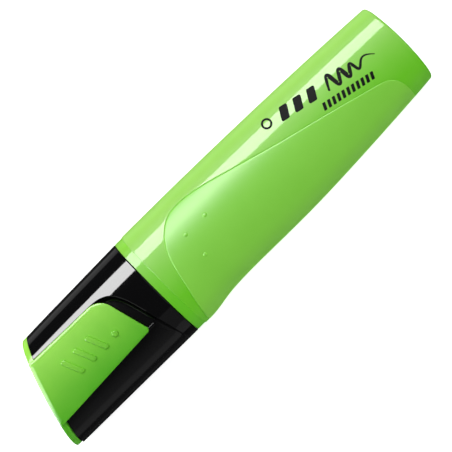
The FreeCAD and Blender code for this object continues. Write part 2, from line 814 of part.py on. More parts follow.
tongue_underside = lengthwise_cylinder(
    "tongue_underside",
    "dims.tongue_top - dims.tongue_crown_radius",
    "dims.tongue_crown_radius - dims.tongue_thickness",
)
tongue_slab = cut("tongue_slab", common("tongue_blank", tongue_prism, tongue_roof), tongue_underside)
tongue_flat = common("tongue_flat", tongue_slab, end_outer)


def plug_loft(name, inset):
    """Straight form along the cap's end, a given inset smaller than the bore."""
    return loft(name, [bore_oval(f"{name}_low", THROUGH, inset), bore_oval(f"{name}_high", PAST_END, inset)])


plug_outer = plug_loft("plug_outer", "dims.liner_fit")
plug_inner = plug_loft("plug_inner", "(dims.liner_fit + dims.plug_wall)")
plug_reach = "dims.end_radius - dims.plate_thickness - dims.plug_depth"
end_plug = upright_cylinder("end_plug", END_X, "dims.end_centre_y", plug_reach)
plug_overlap = "dims.end_radius - dims.plate_thickness / 2"
end_overlap = upright_cylinder("end_overlap", END_X, "dims.end_centre_y", plug_overlap)
plug_tube = cut("plug_tube", common("plug_rod", plug_outer, end_overlap), plug_inner)
plug = cut("plug", plug_tube, end_plug)

# The clip bends at its root, modelled as a knuckle round an axis along the slanted end.
HINGE_TURN = math.asin(number("end_centre_y / end_radius"))
HINGE_REACH = number("end_radius - hinge_inset")
hinge_point = V(
    number(END_X) + HINGE_REACH * math.cos(HINGE_TURN),
    number("end_centre_y") - HINGE_REACH * math.sin(HINGE_TURN),
    number("axis_height + hinge_height"),
)
hinge_axis = V(math.sin(HINGE_TURN), math.cos(HINGE_TURN), 0)


def knuckle(name, radius):
    """Cylinder round the hinge axis, wider than the clip."""
    solid = doc.addObject("Part::Cylinder", name)
    solid.setExpression("Radius", radius)
    solid.Height = FAR / 4
    turn = FreeCAD.Rotation(V(0, 0, 1), hinge_axis)
    solid.Placement = FreeCAD.Placement(hinge_point - hinge_axis * (FAR / 8), turn)
    return solid


def clip_side(name):
    """Block on the clip's side of the hinge axis, from the underside of the clip upwards."""
    block = doc.addObject("Part::Box", name)
    block.Length, block.Width, block.Height = FAR / 4, FAR / 4, FAR / 8
    turn = FreeCAD.Rotation(V(0, 0, 1), math.degrees(-HINGE_TURN) + 180)
    corner = hinge_point + hinge_axis * (FAR / 8) - V(0, 0, FAR / 16)
    block.Placement = FreeCAD.Placement(corner, turn)
    return block


clip_block = clip_side("clip_block")
clip_zone = fuse("clip_zone", knuckle("knuckle_pin", "dims.knuckle_radius"), clip_block)
finish("clip_tongue", common("tongue_piece", tongue_flat, clip_zone))
knuckle_seat = knuckle("knuckle_seat", "dims.knuckle_radius + dims.knuckle_clearance")
tongue_root = cut("tongue_root", cut("root_blank", tongue_flat, clip_block), knuckle_seat)
end_joined = fuse("end_joined", plate, tongue_root, plug)
finish("cap_end", cut("end_piece", end_joined, below_rest))

# ---------------------------------------------------------------- checks and files

doc.recompute()
for item in doc.Objects:
    if "Invalid" in item.State or "Error" in item.State:
        raise RuntimeError(f"{item.Name} did not compute: {item.State}")
os.makedirs("parts", exist_ok=True)
for piece in PIECES:
    shape = piece.Shape
    if shape.isNull() or not shape.isValid() or not shape.Solids:
        raise RuntimeError(f"{piece.Label} has no valid solid")
    shape.exportStep(f"parts/{piece.Label}.step")
    bounds = shape.BoundBox
    print(
        f"{piece.Label:16s} solids {len(shape.Solids)}  volume {shape.Volume:9.1f}"
        f"  x {bounds.XMin:7.2f} {bounds.XMax:7.2f}  y {bounds.YMin:7.2f} {bounds.YMax:7.2f}"
        f"  z {bounds.ZMin:6.2f} {bounds.ZMax:6.2f}"
    )
print("hinge point", [round(c, 3) for c in hinge_point], "axis", [round(c, 4) for c in hinge_axis])
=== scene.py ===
"""Looks of the capped highlighter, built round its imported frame.

Shapes are worked out in millimetres in the pen's own frame: x from the seam of cap and barrel
(+ towards the cap), y towards the grip side, z up from the pen's axis.  make() moves them to the
row frame, in metres.  A surface across the pen is an oval of four tangent arcs, and a place on it
is (x, q): q is 0 on the +Y side, 1 on the -Y side and 2 on the +Y side again, over the top first.
"""

import math

import bmesh
import bpy
import numpy as np
from mathutils import Matrix, Vector
from mathutils.geometry import delaunay_2d_cdt


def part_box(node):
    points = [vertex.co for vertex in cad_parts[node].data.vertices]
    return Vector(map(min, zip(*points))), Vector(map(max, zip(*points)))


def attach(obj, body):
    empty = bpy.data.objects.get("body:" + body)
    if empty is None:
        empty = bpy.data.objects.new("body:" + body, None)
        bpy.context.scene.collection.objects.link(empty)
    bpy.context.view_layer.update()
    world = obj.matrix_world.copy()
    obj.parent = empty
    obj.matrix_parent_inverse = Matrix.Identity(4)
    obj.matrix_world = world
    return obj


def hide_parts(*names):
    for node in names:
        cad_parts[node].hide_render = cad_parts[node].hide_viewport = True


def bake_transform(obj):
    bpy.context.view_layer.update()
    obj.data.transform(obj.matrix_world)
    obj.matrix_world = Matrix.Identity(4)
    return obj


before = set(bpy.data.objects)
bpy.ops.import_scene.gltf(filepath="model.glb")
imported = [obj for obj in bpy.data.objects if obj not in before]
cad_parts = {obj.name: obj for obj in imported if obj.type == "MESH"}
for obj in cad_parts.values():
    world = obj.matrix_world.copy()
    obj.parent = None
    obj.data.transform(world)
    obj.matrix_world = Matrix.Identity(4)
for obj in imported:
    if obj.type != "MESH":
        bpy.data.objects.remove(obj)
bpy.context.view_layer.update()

MM = 0.001
SEAM_GAP = 0.14
TONGUE_TOP = 8.45
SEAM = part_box("cap_shell")[0].x / MM - SEAM_GAP / 2
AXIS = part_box("clip_tongue")[1].z / MM - TONGUE_TOP
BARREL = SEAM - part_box("barrel")[0].x / MM
ROUNDNESS = 0.82
WIDE = 36.0  # length of half the way round the pen, which makes q a length
WELD = 0.0005
REST_SOFTNESS = 0.02
SHARP = math.radians(42)
ARC_STEP = 0.22  # angle, in radians, that sets the least number of points of a rounded corner
ROUND_STEPS = 5
LATTICE_GAP = 0.55  # share of the spacing that inner points keep from a patch's edge
CHUNK = 200  # points compared at a time, which limits the memory used
CLOSE_ENOUGH = 1e-7
SUPPORT_GAPS = (0.06, 0.3)  # rows of points close beside an edge, which keep its shading even

# ---------------------------------------------------------------- curves


def smoothstep(t):
    t = np.clip(t, 0, 1)
    return t * t * (3 - 2 * t)


def spline(knots, values):
    """Natural cubic spline through the values, as a function."""
    knots, values = np.asarray(knots, float), np.asarray(values, float)
    gaps = np.diff(knots)
    system = np.eye(len(knots))
    right = np.zeros(len(knots))
    for i in range(1, len(knots) - 1):
        system[i, i - 1 : i + 2] = gaps[i - 1], 2 * (gaps[i - 1] + gaps[i]), gaps[i]
        rise, rise_before = values[i + 1] - values[i], values[i] - values[i - 1]
        right[i] = 6 * (rise / gaps[i] - rise_before / gaps[i - 1])
    bends = np.linalg.solve(system, right)

    def at(t):
        i = np.clip(np.searchsorted(knots, t) - 1, 0, len(gaps) - 1)
        b = (t - knots[i]) / gaps[i]
        a = 1 - b
        bow = ((a**3 - a) * bends[i] + (b**3 - b) * bends[i + 1]) * gaps[i] ** 2 / 6
        return a * values[i] + b * values[i + 1] + bow

    return at


def way_along(points):
    """Length of the way to each of the points, one after the other."""
    return np.concatenate([[0], np.cumsum(np.linalg.norm(np.diff(points, axis=0), axis=1))])


def path(points, count=3000):
    """Smooth plan curve through the points, as many points close together."""
    points = np.asarray(points, float)
    knots = way_along(points)
    along = np.linspace(0, knots[-1], count)
    return np.stack([spline(knots, points[:, k])(along) for k in (0, 1)], axis=1)


def offset(curve, distance, closed=False):
    """Plan curve moved to its left by the distance."""
    if closed:
        along = np.roll(curve, -1, axis=0) - np.roll(curve, 1, axis=0)
    else:
        along = np.gradient(curve, axis=0)
    along /= np.linalg.norm(along, axis=1)[:, None]
    left = np.stack([-along[:, 1], along[:, 0]], axis=1)
    return curve + left * np.reshape(distance, (-1, 1))


def rounded_outline(corners, step):
    """Closed plan outline through (x, y, radius) corners, each rounded to its radius."""
    spots = [np.array(corner[:2], float) for corner in corners]
    outline = []
    for i, (_, _, radius) in enumerate(corners):
        before, here, after = spots[i - 1], spots[i], spots[(i + 1) % len(spots)]
        back = (before - here) / np.linalg.norm(before - here)
        ahead = (after - here) / np.linalg.norm(after - here)
        turn = math.pi - math.acos(float(np.clip(back @ ahead, -1, 1)))
        reach = radius * math.tan(turn / 2)
        bisector = (back + ahead) / np.linalg.norm(back + ahead)
        centre = here + bisector * radius / math.cos(turn / 2)
        count = max(2, int(radius * turn / step) + 1, int(turn / ARC_STEP) + 1)
        start, end = here + back * reach - centre, here + ahead * reach - centre
        for t in np.linspace(0, 1, count):
            arm = start * (1 - t) + end * t
            outline.append(centre + arm / np.linalg.norm(arm) * radius)
    outline = np.array(outline)
    filled = []
    for a, b in zip(outline, np.roll(outline, -1, axis=0)):
        count = max(1, int(round(np.linalg.norm(b - a) / step)))
        filled += [a + (b - a) * k / count for k in range(count)]
    return np.array(filled)


# ---------------------------------------------------------------- ovals


def arcs(section):
    """Side radius, face radius, half turn of a side arc and length of half the oval."""
    half_width, half_height, _, roundness = section
    side = roundness * half_height
    flat_part = (half_width - side) ** 2 + half_height**2 - side**2
    face = flat_part / (2 * (half_height - side))
    turn = np.arctan2(face - half_height, half_width - side)
    return side, face, turn, 2 * side * turn + face * (np.pi - 2 * turn)


def around(section, q):
    """y, z and the outward normal's y, z on an oval at q."""
    half_width, half_height, centre, _ = section
    side, face, turn, length = arcs(section)
    q = np.mod(q, 2)
    below = q > 1
    way = np.where(below, 2 - q, q) * length
    quarter = side * turn
    first, last = way < quarter, way > length - quarter
    on_face = turn + (way - quarter) / face
    angle = np.where(first, way / side, np.where(last, np.pi - (length - way) / side, on_face))
    radius = np.where(first | last, side, face)
    middle_y = np.where(first, half_width - side, np.where(last, side - half_width, 0))
    middle_z = np.where(first | last, 0, half_height - face)
    sign = np.where(below, -1, 1)
    across, up = np.cos(angle), np.sin(angle)
    y = centre + middle_y + radius * across
    return y, sign * (middle_z + radius * up), across, sign * up


def locate(section, y, z):
    """q of the place on an oval that faces the point (y, z)."""
    half_width, half_height, centre, _ = section
    side, face, turn, length = arcs(section)
    y, up = y - centre, np.abs(z)
    at_face = np.arctan2(up + face - half_height, y)
    at_near = np.arctan2(up, y - (half_width - side))
    at_far = np.arctan2(up, -y - (half_width - side))
    on_face = (at_face > turn) & (at_face < np.pi - turn)
    on_side = np.where(y > 0, side * at_near, length - side * at_far)
    way = np.where(on_face, side * turn + face * (at_face - turn), on_side)
    q = way / length
    return np.where(z < 0, 2 - q, q)


def top_q(section, y):
    """q of the oval's upper point straight above y."""
    half_width, half_height, centre, _ = section
    side, face, turn, length = arcs(section)
    y = y - centre
    edge = face * np.cos(turn)
    at_side = np.arccos(np.clip((np.abs(y) - (half_width - side)) / side, -1, 1))
    at_face = np.arccos(np.clip(y / face, -1, 1))
    on_side = np.where(y > 0, side * at_side, length - side * at_side)
    on_face = side * turn + face * (at_face - turn)
    return np.where(np.abs(y) > edge, on_side, on_face) / length


SCOOP = spline(
    (0.0, 0.04, 0.08, 0.13, 0.19, 0.27, 0.37, 0.48, 0.65, 0.96),
    (0.0, 0.05, 0.2, 0.72, 1.0, 0.95, 0.68, 0.4, 0.24, 0.12),
)
THUMB_SCOOP = 1.17
GRIP_RISE = 0.12
WALL = 1.25
GRIP_THICKNESS = 1.0
# Half width, half height and y of the centre: at the seam, and what the far end has less.
BARREL_START, BARREL_LOSS = (14.28, 8.5, 0.06), (2.85, 1.7, 0.49)
CAP_START, CAP_LOSS = (14.16, 8.5, 0.09), (0.54, 0.25, -0.16)
CAP_ROUNDER, CAP_END_ROUNDER = 0.032, 0.03


def tapered(start, loss, share):
    return [size - less * share for size, less in zip(start, loss)]


def barrel_section(x):
    return (*tapered(BARREL_START, BARREL_LOSS, (x / BARREL) ** 2), ROUNDNESS)


def grip_section(x):
    half_width, half_height, centre, _ = barrel_section(x)
    drawn = THUMB_SCOOP * SCOOP(-x / BARREL) / 2
    width, height = half_width - drawn + GRIP_RISE, half_height + GRIP_RISE
    return width, height, centre - drawn, ROUNDNESS


def hollow_section(x):
    half_width, half_height, centre, _ = barrel_section(x)
    grip_side = (GRIP_THICKNESS + THUMB_SCOOP) / 2
    width, height = half_width - WALL - grip_side, half_height - WALL - GRIP_THICKNESS
    return width, height, centre - grip_side, ROUNDNESS


CAP = 40.9
RECESS_STEP = 0.35
RECESS_FLOOR = 6.1


def cap_section(x):
    share = x / CAP
    roundness = ROUNDNESS + CAP_ROUNDER * share + CAP_END_ROUNDER * share**4
    return (*tapered(CAP_START, CAP_LOSS, share), roundness)


def plate_section(x):
    half_width, half_height, centre, roundness = cap_section(x)
    step = RECESS_STEP / 2
    return half_width - step, half_height, centre - step, roundness


def floor_section(x):
    half_width, _, centre, _ = plate_section(x)
    return half_width, RECESS_FLOOR + 0 * centre, centre, ROUNDNESS


def skin(section, x, q, depth=0.0):
    """Points on a surface, and the outward normals there."""
    x, q = np.broadcast_arrays(np.asarray(x, float), np.asarray(q, float))
    y, z, across, up = around(section(x), q)
    points = np.stack([x, y - depth * across, z - depth * up], axis=-1)
    return points, np.stack([0 * x, across, up], axis=-1)


# ---------------------------------------------------------------- forms


def inside(points, loops):
    """Whether each plan point lies inside an odd number of the loops."""
    odd = np.zeros(len(points), bool)
    for loop in loops:
        for (x0, y0), (x1, y1) in zip(loop, np.roll(loop, -1, axis=0)):
            if y0 == y1:
                continue
            crosses = (y0 > points[:, 1]) != (y1 > points[:, 1])
            edge_x = x0 + (points[:, 1] - y0) * (x1 - x0) / (y1 - y0)
            odd ^= crosses & (points[:, 0] < edge_x)
    return odd


def clear_of(points, others, distance):
    """The points that are further than the distance from all the others, worked out in chunks."""
    keep = np.ones(len(points), bool)
    for start in range(0, len(others), CHUNK):
        gaps = points[:, None, :] - others[None, start : start + CHUNK, :]
        keep &= (gaps**2).sum(-1).min(1) > distance**2
    return points[keep]


class Form:
    """Points and faces of one piece; points that coincide are welded when it is made."""

    def __init__(self):
        self.points = []
        self.faces = []
        self.finishes = []
        self.count = 0

    def add(self, points):
        points = np.asarray(points, float).reshape(-1, 3)
        self.points.append(points)
        self.count += len(points)
        return range(self.count - len(points), self.count)

    def band(self, rows, closed=True):
        """Quads between each row of points and the next."""
        marks = [self.add(row) for row in rows]
        for low, high in zip(marks, marks[1:]):
            for i in range(len(low) - (not closed)):
                j = (i + 1) % len(low)
                self.faces.append((low[i], low[j], high[j], high[i]))
                self.finishes.append(0)

    def fan(self, row, centre):
        """Triangles from a closed row to a centre point."""
        marks = self.add(row)
        middle = self.add([centre])[0]
        for i in range(len(marks)):
            self.faces.append((marks[i], marks[(i + 1) % len(marks)], middle))
            self.finishes.append(0)

    def patch(self, place, outline, spacing, holes=(), extra=(), finish=0):
        """Surface over a plan region: place() lifts its points, extra ones among them.

        finish picks one of the piece's materials.
        """
        loops = [np.asarray(loop, float) for loop in (outline, *holes)]
        edge_points = np.concatenate(loops)
        low, high = edge_points.min(0), edge_points.max(0)
        counts = np.ceil((high - low) / spacing).astype(int) + 1
        axes = [np.linspace(low[k], high[k], counts[k]) for k in (0, 1)]
        lattice = np.stack(np.meshgrid(*axes, indexing="ij"), axis=-1).reshape(-1, 2)
        lattice = lattice[inside(lattice, loops)]
        fixed = edge_points
        if len(extra):
            extra = np.concatenate(extra)
            fixed = np.concatenate([fixed, extra[inside(extra, loops)]])
        lattice = clear_of(lattice, fixed, LATTICE_GAP * min(spacing))
        spots = np.concatenate([fixed, lattice])
        edges, start = [], 0
        for loop in loops:
            edges += [(start + i, start + (i + 1) % len(loop)) for i in range(len(loop))]
            start += len(loop)
        found = delaunay_2d_cdt([Vector(spot) for spot in spots], edges, [], 0, CLOSE_ENOUGH)
        flat = np.array([tuple(spot) for spot in found[0]])
        triangles = np.array([face for face in found[2] if len(face) == 3])
        triangles = triangles[inside(flat[triangles].mean(1), loops)]
        sources = enumerate(found[3])
        exact = np.array([spots[source[0]] if source else flat[i] for i, source in sources])
        marks = self.add(place(exact))
        self.faces += [tuple(marks[i] for i in triangle) for triangle in triangles]
        self.finishes += [finish] * len(triangles)


def above_rest(z):
    """Heights with everything below the resting surface flattened onto it."""
    over = z + AXIS
    return (over + np.sqrt(over**2 + REST_SOFTNESS**2)) / 2 - AXIS


def make(name, form, slot, *materials):
    """Mesh object from a form, welded, smooth except at sharp edges, in the row frame."""
    points = np.concatenate(form.points)
    points[:, 2] = above_rest(points[:, 2])
    points = (points + np.array([SEAM, 0, AXIS])) * MM
    mesh = bpy.data.meshes.new(name)
    mesh.from_pydata(points.tolist(), [], form.faces)
    mesh.polygons.foreach_set("material_index", form.finishes)
    build = bmesh.new()
    build.from_mesh(mesh)
    bmesh.ops.remove_doubles(build, verts=build.verts, dist=WELD * MM)
    bmesh.ops.dissolve_degenerate(build, edges=build.edges, dist=WELD * MM / 5)
    bmesh.ops.recalc_face_normals(build, faces=build.faces)
    for face in build.faces:
        face.smooth = True
    for edge in build.edges:
        edge.smooth = edge.calc_face_angle(0) < SHARP
    build.to_mesh(mesh)
    build.free()
    for material in materials:
        mesh.materials.append(material)
    piece = bpy.data.objects.new(name, mesh)
    bpy.context.scene.collection.objects.link(piece)
    return piece


def quarter_round(width, drop=None):
    """(inwards, down) along a quarter circle, or ellipse, that starts level and ends upright."""
    drop = width if drop is None else drop
    angles = np.linspace(0, math.pi / 2, ROUND_STEPS + 1)
    return [(width * math.sin(a), drop * (1 - math.cos(a))) for a in angles]


# ---------------------------------------------------------------- materials


def shader_of(material):
    material.use_nodes = True
    return material.node_tree.nodes["Principled BSDF"]


def preset(shader, **inputs):
    """Sets inputs of a node, named with _ for each space."""
    for name, value in inputs.items():
        shader.inputs[name.replace("_", " ")].default_value = value


def node(tree, kind, **inputs):
    made = tree.nodes.new(kind)
    preset(made, **inputs)
    return made


# Painted shade: between these y, in millimetres, the colour goes from its pale, painted lit end to
# its deep, painted shaded end.
PAINTED_LIT_Y, PAINTED_SHADED_Y = -11.0, 6.0
BLOTCH_SIZE = 9.0
LEAST_BLOTCH = 0.12  # share of the colours that the mottle spans at least


def plastic(
    name,
    pale,
    deep,
    roughness,
    spread=0.03,
    grain=0.0,
    grain_size=0.2,
    shine=0.5,
    coat=0.0,
    painted_shade_share=0.0,
):
    """Moulded plastic: mottled colour, painted shade across the pen, uneven gloss and a fine
    grain, sizes in millimetres.

    The last argument is how much of the change from pale to deep goes with y across the pen:
    painted shade, pale on the lit -Y side and deep on the shaded +Y side.
    """
    material = bpy.data.materials.new(name)
    shader = shader_of(material)
    tree = material.node_tree
    link = tree.links.new
    preset(shader, IOR=1.5, Specular_IOR_Level=shine)
    preset(shader, Coat_Weight=coat, Coat_Roughness=0.05, Coat_IOR=1.5)
    place = tree.nodes.new("ShaderNodeTexCoord").outputs["Object"]
    blotch_scale, fine_scale = 1 / (BLOTCH_SIZE * MM), 1 / (grain_size * MM)
    mottle = node(tree, "ShaderNodeTexNoise", Scale=blotch_scale, Detail=3.0, Roughness=0.55)
    fine = node(tree, "ShaderNodeTexNoise", Scale=fine_scale, Detail=2.0, Roughness=0.5)
    parts = tree.nodes.new("ShaderNodeSeparateXYZ")
    for texture in (mottle, fine, parts):
        link(place, texture.inputs["Vector"])
    # Painted shade: the colour runs from pale on the lit -Y side to deep on the shaded +Y side,
    # and the mottle is added to it.
    lit_y, shaded_y = PAINTED_LIT_Y * MM, PAINTED_SHADED_Y * MM
    across = node(tree, "ShaderNodeMapRange", From_Min=lit_y, From_Max=shaded_y, To_Max=painted_shade_share)
    link(parts.outputs["Y"], across.inputs["Value"])
    blotch_share = max(LEAST_BLOTCH, 1 - painted_shade_share)
    blotch = node(tree, "ShaderNodeMapRange", From_Min=0.3, From_Max=0.7, To_Max=blotch_share)
    link(mottle.outputs["Fac"], blotch.inputs["Value"])
    total = tree.nodes.new("ShaderNodeMath")
    link(across.outputs["Result"], total.inputs[0])
    link(blotch.outputs["Result"], total.inputs[1])
    colours = tree.nodes.new("ShaderNodeValToRGB")
    for stop, colour in zip(colours.color_ramp.elements, (pale, deep)):
        stop.color = (*colour, 1)
    link(total.outputs["Value"], colours.inputs["Fac"])
    link(colours.outputs["Color"], shader.inputs["Base Color"])
    gloss = node(
        tree,
        "ShaderNodeMapRange",
        From_Min=0.25,
        From_Max=0.75,
        To_Min=max(0.0, roughness - spread),
        To_Max=roughness + spread,
    )
    link(fine.outputs["Fac"], gloss.inputs["Value"])
    link(gloss.outputs["Result"], shader.inputs["Roughness"])
    if grain:
        bump = node(tree, "ShaderNodeBump", Strength=1.0, Distance=grain * MM)
        link(fine.outputs["Fac"], bump.inputs["Height"])
        link(bump.outputs["Normal"], shader.inputs["Normal"])
    return material


BLACK = (0.0026, 0.0026, 0.003), (0.0022, 0.0022, 0.0026)
# Painted light and shade in the greens: the pale colour stands for the lit -Y side and the deep
# one for the shaded +Y side, with a little mottle between.
GREEN = {"roughness": 0.48, "shine": 0.25, "coat": 0.55, "painted_shade_share": 0.9}
barrel_plastic = plastic("barrel_plastic", (0.365, 0.77, 0.12), (0.155, 0.7, 0.001), **GREEN)
section_plastic = plastic("section_plastic", (0.265, 0.72, 0.04), (0.135, 0.68, 0.001), **GREEN)
clip_plastic = plastic("clip_plastic", (0.375, 0.9, 0.06), (0.09, 0.53, 0.001), **GREEN)
grip_rubber = plastic(
    "grip_rubber",
    (0.27, 0.79, 0.054),
    (0.25, 0.77, 0.046),
    0.37,
    spread=0.05,
    grain=0.003,
    grain_size=0.12,
    shine=0.55,
)
cap_plastic = plastic("cap_plastic", *BLACK, 0.05, spread=0.015)
cap_satin = plastic("cap_satin", *BLACK, 0.2, grain=0.001, grain_size=0.15)
print_ink = plastic(
    "print_ink", (0.005, 0.005, 0.005), (0.003, 0.003, 0.003), 0.6, spread=0.05, shine=0.1
)
CAD_FINISHES = {
    "front_section": section_plastic,
    "nib": plastic(
        "nib_felt", (0.42, 0.78, 0.05), (0.30, 0.62, 0.02), 0.85, grain=0.05, grain_size=0.25
    ),
    "inner_cap": plastic(
        "liner_plastic", (0.78, 0.78, 0.76), (0.72, 0.73, 0.71), 0.3, grain=0.001
    ),
    "ink_reservoir": plastic(
        "reservoir_fibre", (0.36, 0.72, 0.05), (0.26, 0.55, 0.03), 0.9, grain=0.04
    ),
    "reservoir_wrap": plastic("clear_film", (0.8, 0.86, 0.78), (0.76, 0.82, 0.74), 0.15),
}
for node_name, finish in CAD_FINISHES.items():
    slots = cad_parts[node_name].data.materials
    if len(slots) == 0:
        slots.append(finish)
    for index in range(len(slots)):
        slots[index] = finish

# ---------------------------------------------------------------- barrel and grip

# Edge of the grip's plan, from the collar to the rear: the barrel is on its left.
LEAF_RIM = path(
    [
        *[(-3.5, 14.6), (-4.5, 9.8), (-5.9, 3.9), (-7.7, -2.8), (-10.6, -7.5), (-14.0, -9.8)],
        *[(-18.2, -10.35), (-23.5, -9.6), (-31.6, -7.4), (-46.5, -3.1), (-56.0, -0.65)],
        *[(-64.0, 1.5), (-68.0, 2.6), (-71.0, 3.42), (-73.0, 4.25), (-74.4, 5.6)],
        *[(-75.2, 7.3), (-75.6, 9.5), (-75.75, 13)],
    ]
)
GROOVE = 0.005
BARREL_LIP, BARREL_DROP = 0.1, 0.05
GRIP_LIP, GRIP_DROP = 0.45, 0.13
SIDE_DROP, DEEPER_FROM, DEEPER_OVER = 0.12, 1.0, 8.0
BED_DEPTH = 0.8
GRIP_DEPTH = 0.72
RIM_STEPS, RIM_SAMPLES = 260, 4000
BARREL_SPACING, GRIP_SPACING, HIDDEN_SPACING = (0.9, 0.62), (0.8, 0.62), (1.6, 1.2)


def on_top(section, curve):
    """(x, q) along a plan curve, where it crosses the upper surface from the +Y edge and back."""
    half_width, _, centre, _ = section(curve[:, 0])
    over = np.nonzero(curve[:, 1] < half_width + centre)[0]
    ends = []
    for k, j in ((over[0], over[0] - 1), (over[-1], over[-1] + 1)):
        gap_k, gap_j = (curve[i, 1] - (half_width + centre)[i] for i in (k, j))
        ends.append(k + (j - k) * gap_k / (gap_k - gap_j))
    turn = np.linspace(0, math.pi, RIM_SAMPLES)
    at = ends[0] + (ends[1] - ends[0]) * (1 - np.cos(turn)) / 2
    x = np.interp(at, np.arange(len(curve)), curve[:, 0])
    y = np.interp(at, np.arange(len(curve)), curve[:, 1])
    q = top_q(section(x), y)
    q[0] = q[-1] = 0
    way = way_along(skin(section, x, q)[0])
    even = np.linspace(0, way[-1], RIM_STEPS + 1)
    return np.interp(even, way, x), np.interp(even, way, q)


def mirrored(row):
    """Closed ring from a row over the top whose ends lie on the +Y side."""
    return np.concatenate([row, (row * (1, 1, -1))[-2:0:-1]])


def rim_rows(section, side, width, drop):
    """Rows over the rounded edge that a surface has along the leaf's rim.

    side is 1 for the barrel and -1 for the grip.  The edge drops further towards the +Y side,
    where the groove shows as a notch.
    """
    rows = []
    for inwards, down in quarter_round(width, drop):
        x, q = on_top(section, offset(LEAF_RIM, side * (GROOVE + width - inwards)))
        points, normals = skin(section, x, q)
        deeper = SIDE_DROP * smoothstep((points[:, 1:2] - DEEPER_FROM) / DEEPER_OVER)
        rows.append(points - normals * down * (1 + deeper / drop))
    return rows


def leaf_loop(x, q):
    """Closed (x, q) loop in the plane, over the top and back below, with q as a length."""
    over = np.stack([x, q * WIDE], axis=1)
    return np.concatenate([over, (over * (1, -1))[-2:0:-1]])


def place_on(section, depth=0.0, shift=None):
    """A function that lifts (x, q as a length) onto a surface, or below it by the depth."""

    def place(flat):
        points, _ = skin(section, flat[:, 0], flat[:, 1] / WIDE, depth)
        return points if shift is None else shift(points)

    return place


barrel_rim = on_top(barrel_section, offset(LEAF_RIM, GROOVE + BARREL_LIP))
bed_rim = on_top(grip_section, offset(LEAF_RIM, GROOVE))
grip_rim = on_top(grip_section, offset(LEAF_RIM, -(GROOVE + GRIP_LIP)))
grip_foot = on_top(grip_section, offset(LEAF_RIM, -GROOVE))

CROWN_RADIUS, CROWN_FROM = 135.0, -70.0
REAR_ROUND = 0.65
FRONT_X = -2.4
FRONT_ROUND = 0.15
REAR_X = REAR_ROUND - BARREL
RING = np.linspace(0, 2, 145)[:-1]
FULL_RING = np.append(RING, 2.0)
REAR_RINGS = (0.97, 0.8, 0.6, 0.4, 0.2)
FRONT_SUPPORT, REAR_SUPPORT = 0.06, 0.08  # how far from the ends extra rows keep shading even
REAR_STEPS = 8
HOLLOW_ROWS, BORE_ROWS = 14, 12
FRONT_CUTS, REAR_CUTS, MOUTH_CUTS = 3, 8, 4  # steps along the cuts that open a patch out flat


def crowned(points):
    """The rear end is a shallow arc seen from above; the last stretch follows it."""
    moved = points.copy()
    share = smoothstep((CROWN_FROM - points[:, 0]) / (CROWN_FROM - REAR_X))
    moved[:, 0] += share * points[:, 1] ** 2 / (2 * CROWN_RADIUS)
    return moved


def row_at(x, ring):
    """Points of a patch along a row of q at x, without the row's two ends."""
    return np.stack([np.full(len(ring) - 2, x), ring[1:-1] * WIDE], axis=1)


def build_barrel():
    form = Form()
    x, q = barrel_rim
    front_x = FRONT_X - FRONT_ROUND
    cut_front = np.linspace(front_x, x[0], FRONT_CUTS + 1)[1:-1]
    cut_rear = np.linspace(x[-1], REAR_X, REAR_CUTS + 1)[1:-1]
    upper = [(cut_x, 0.0) for cut_x in (front_x, *cut_front)] + list(zip(x, q))
    upper += [(cut_x, 0.0) for cut_x in cut_rear]
    lower = [(spot_x, 2.0 - spot_q) for spot_x, spot_q in upper]
    rear_row = [(REAR_X, ring_q) for ring_q in FULL_RING]
    front_row = [(front_x, ring_q) for ring_q in FULL_RING[::-1]]
    outline = np.array(upper + rear_row + lower[::-1] + front_row[1:-1]) * (1, WIDE)
    support_x = front_x - FRONT_SUPPORT, REAR_X + REAR_SUPPORT
    support = [row_at(row_x, FULL_RING) for row_x in support_x]
    place = place_on(barrel_section, shift=crowned)
    form.patch(place, outline, BARREL_SPACING, extra=support)
    walls = [mirrored(row) for row in rim_rows(barrel_section, 1, BARREL_LIP, BARREL_DROP)]
    bed = skin(grip_section, *bed_rim, BED_DEPTH)[0]
    form.band([crowned(row) for row in (*walls, mirrored(bed))])
    form.patch(place_on(grip_section, BED_DEPTH, crowned), leaf_loop(*bed_rim), HIDDEN_SPACING)
    rear_rows = []
    for angle in np.linspace(0, math.pi / 2, REAR_STEPS + 1):
        row_x = REAR_X - REAR_ROUND * math.sin(angle)
        row = skin(barrel_section, row_x, RING, REAR_ROUND * (1 - math.cos(angle)))[0]
        rear_rows.append(row + np.outer(row[:, 1] ** 2 / (2 * CROWN_RADIUS), (1, 0, 0)))
    last_row = rear_rows[-1]
    for shrink in REAR_RINGS:
        row = last_row.copy()
        row[:, 1:] *= shrink
        row[:, 0] = -BARREL + row[:, 1] ** 2 / (2 * CROWN_RADIUS)
        rear_rows.append(row)
    form.band(rear_rows)
    form.fan(rear_rows[-1], (-BARREL, 0, 0))
    rounding = quarter_round(FRONT_ROUND)
    front_rows = [skin(barrel_section, front_x + a, RING, b)[0] for a, b in rounding]
    inner_x = np.linspace(FRONT_X, 2 * WALL - BARREL, HOLLOW_ROWS)
    front_rows += [skin(hollow_section, row_x, RING)[0] for row_x in inner_x]
    form.band(front_rows)
    form.fan(front_rows[-1], (inner_x[-1], 0, 0))
    return make("barrel_shell", form, "barrel_green", barrel_plastic)


DOTS = [(-14.1, -3.8), (-20.5, -3.9), (-14.1, 2.8)]
DOT_RADIUS, DOT_RISE, DOT_SINK, DOT_SHAPE = 0.6, 0.22, 0.04, 1.3
DOT_SIDES, DOT_RINGS = 24, 6


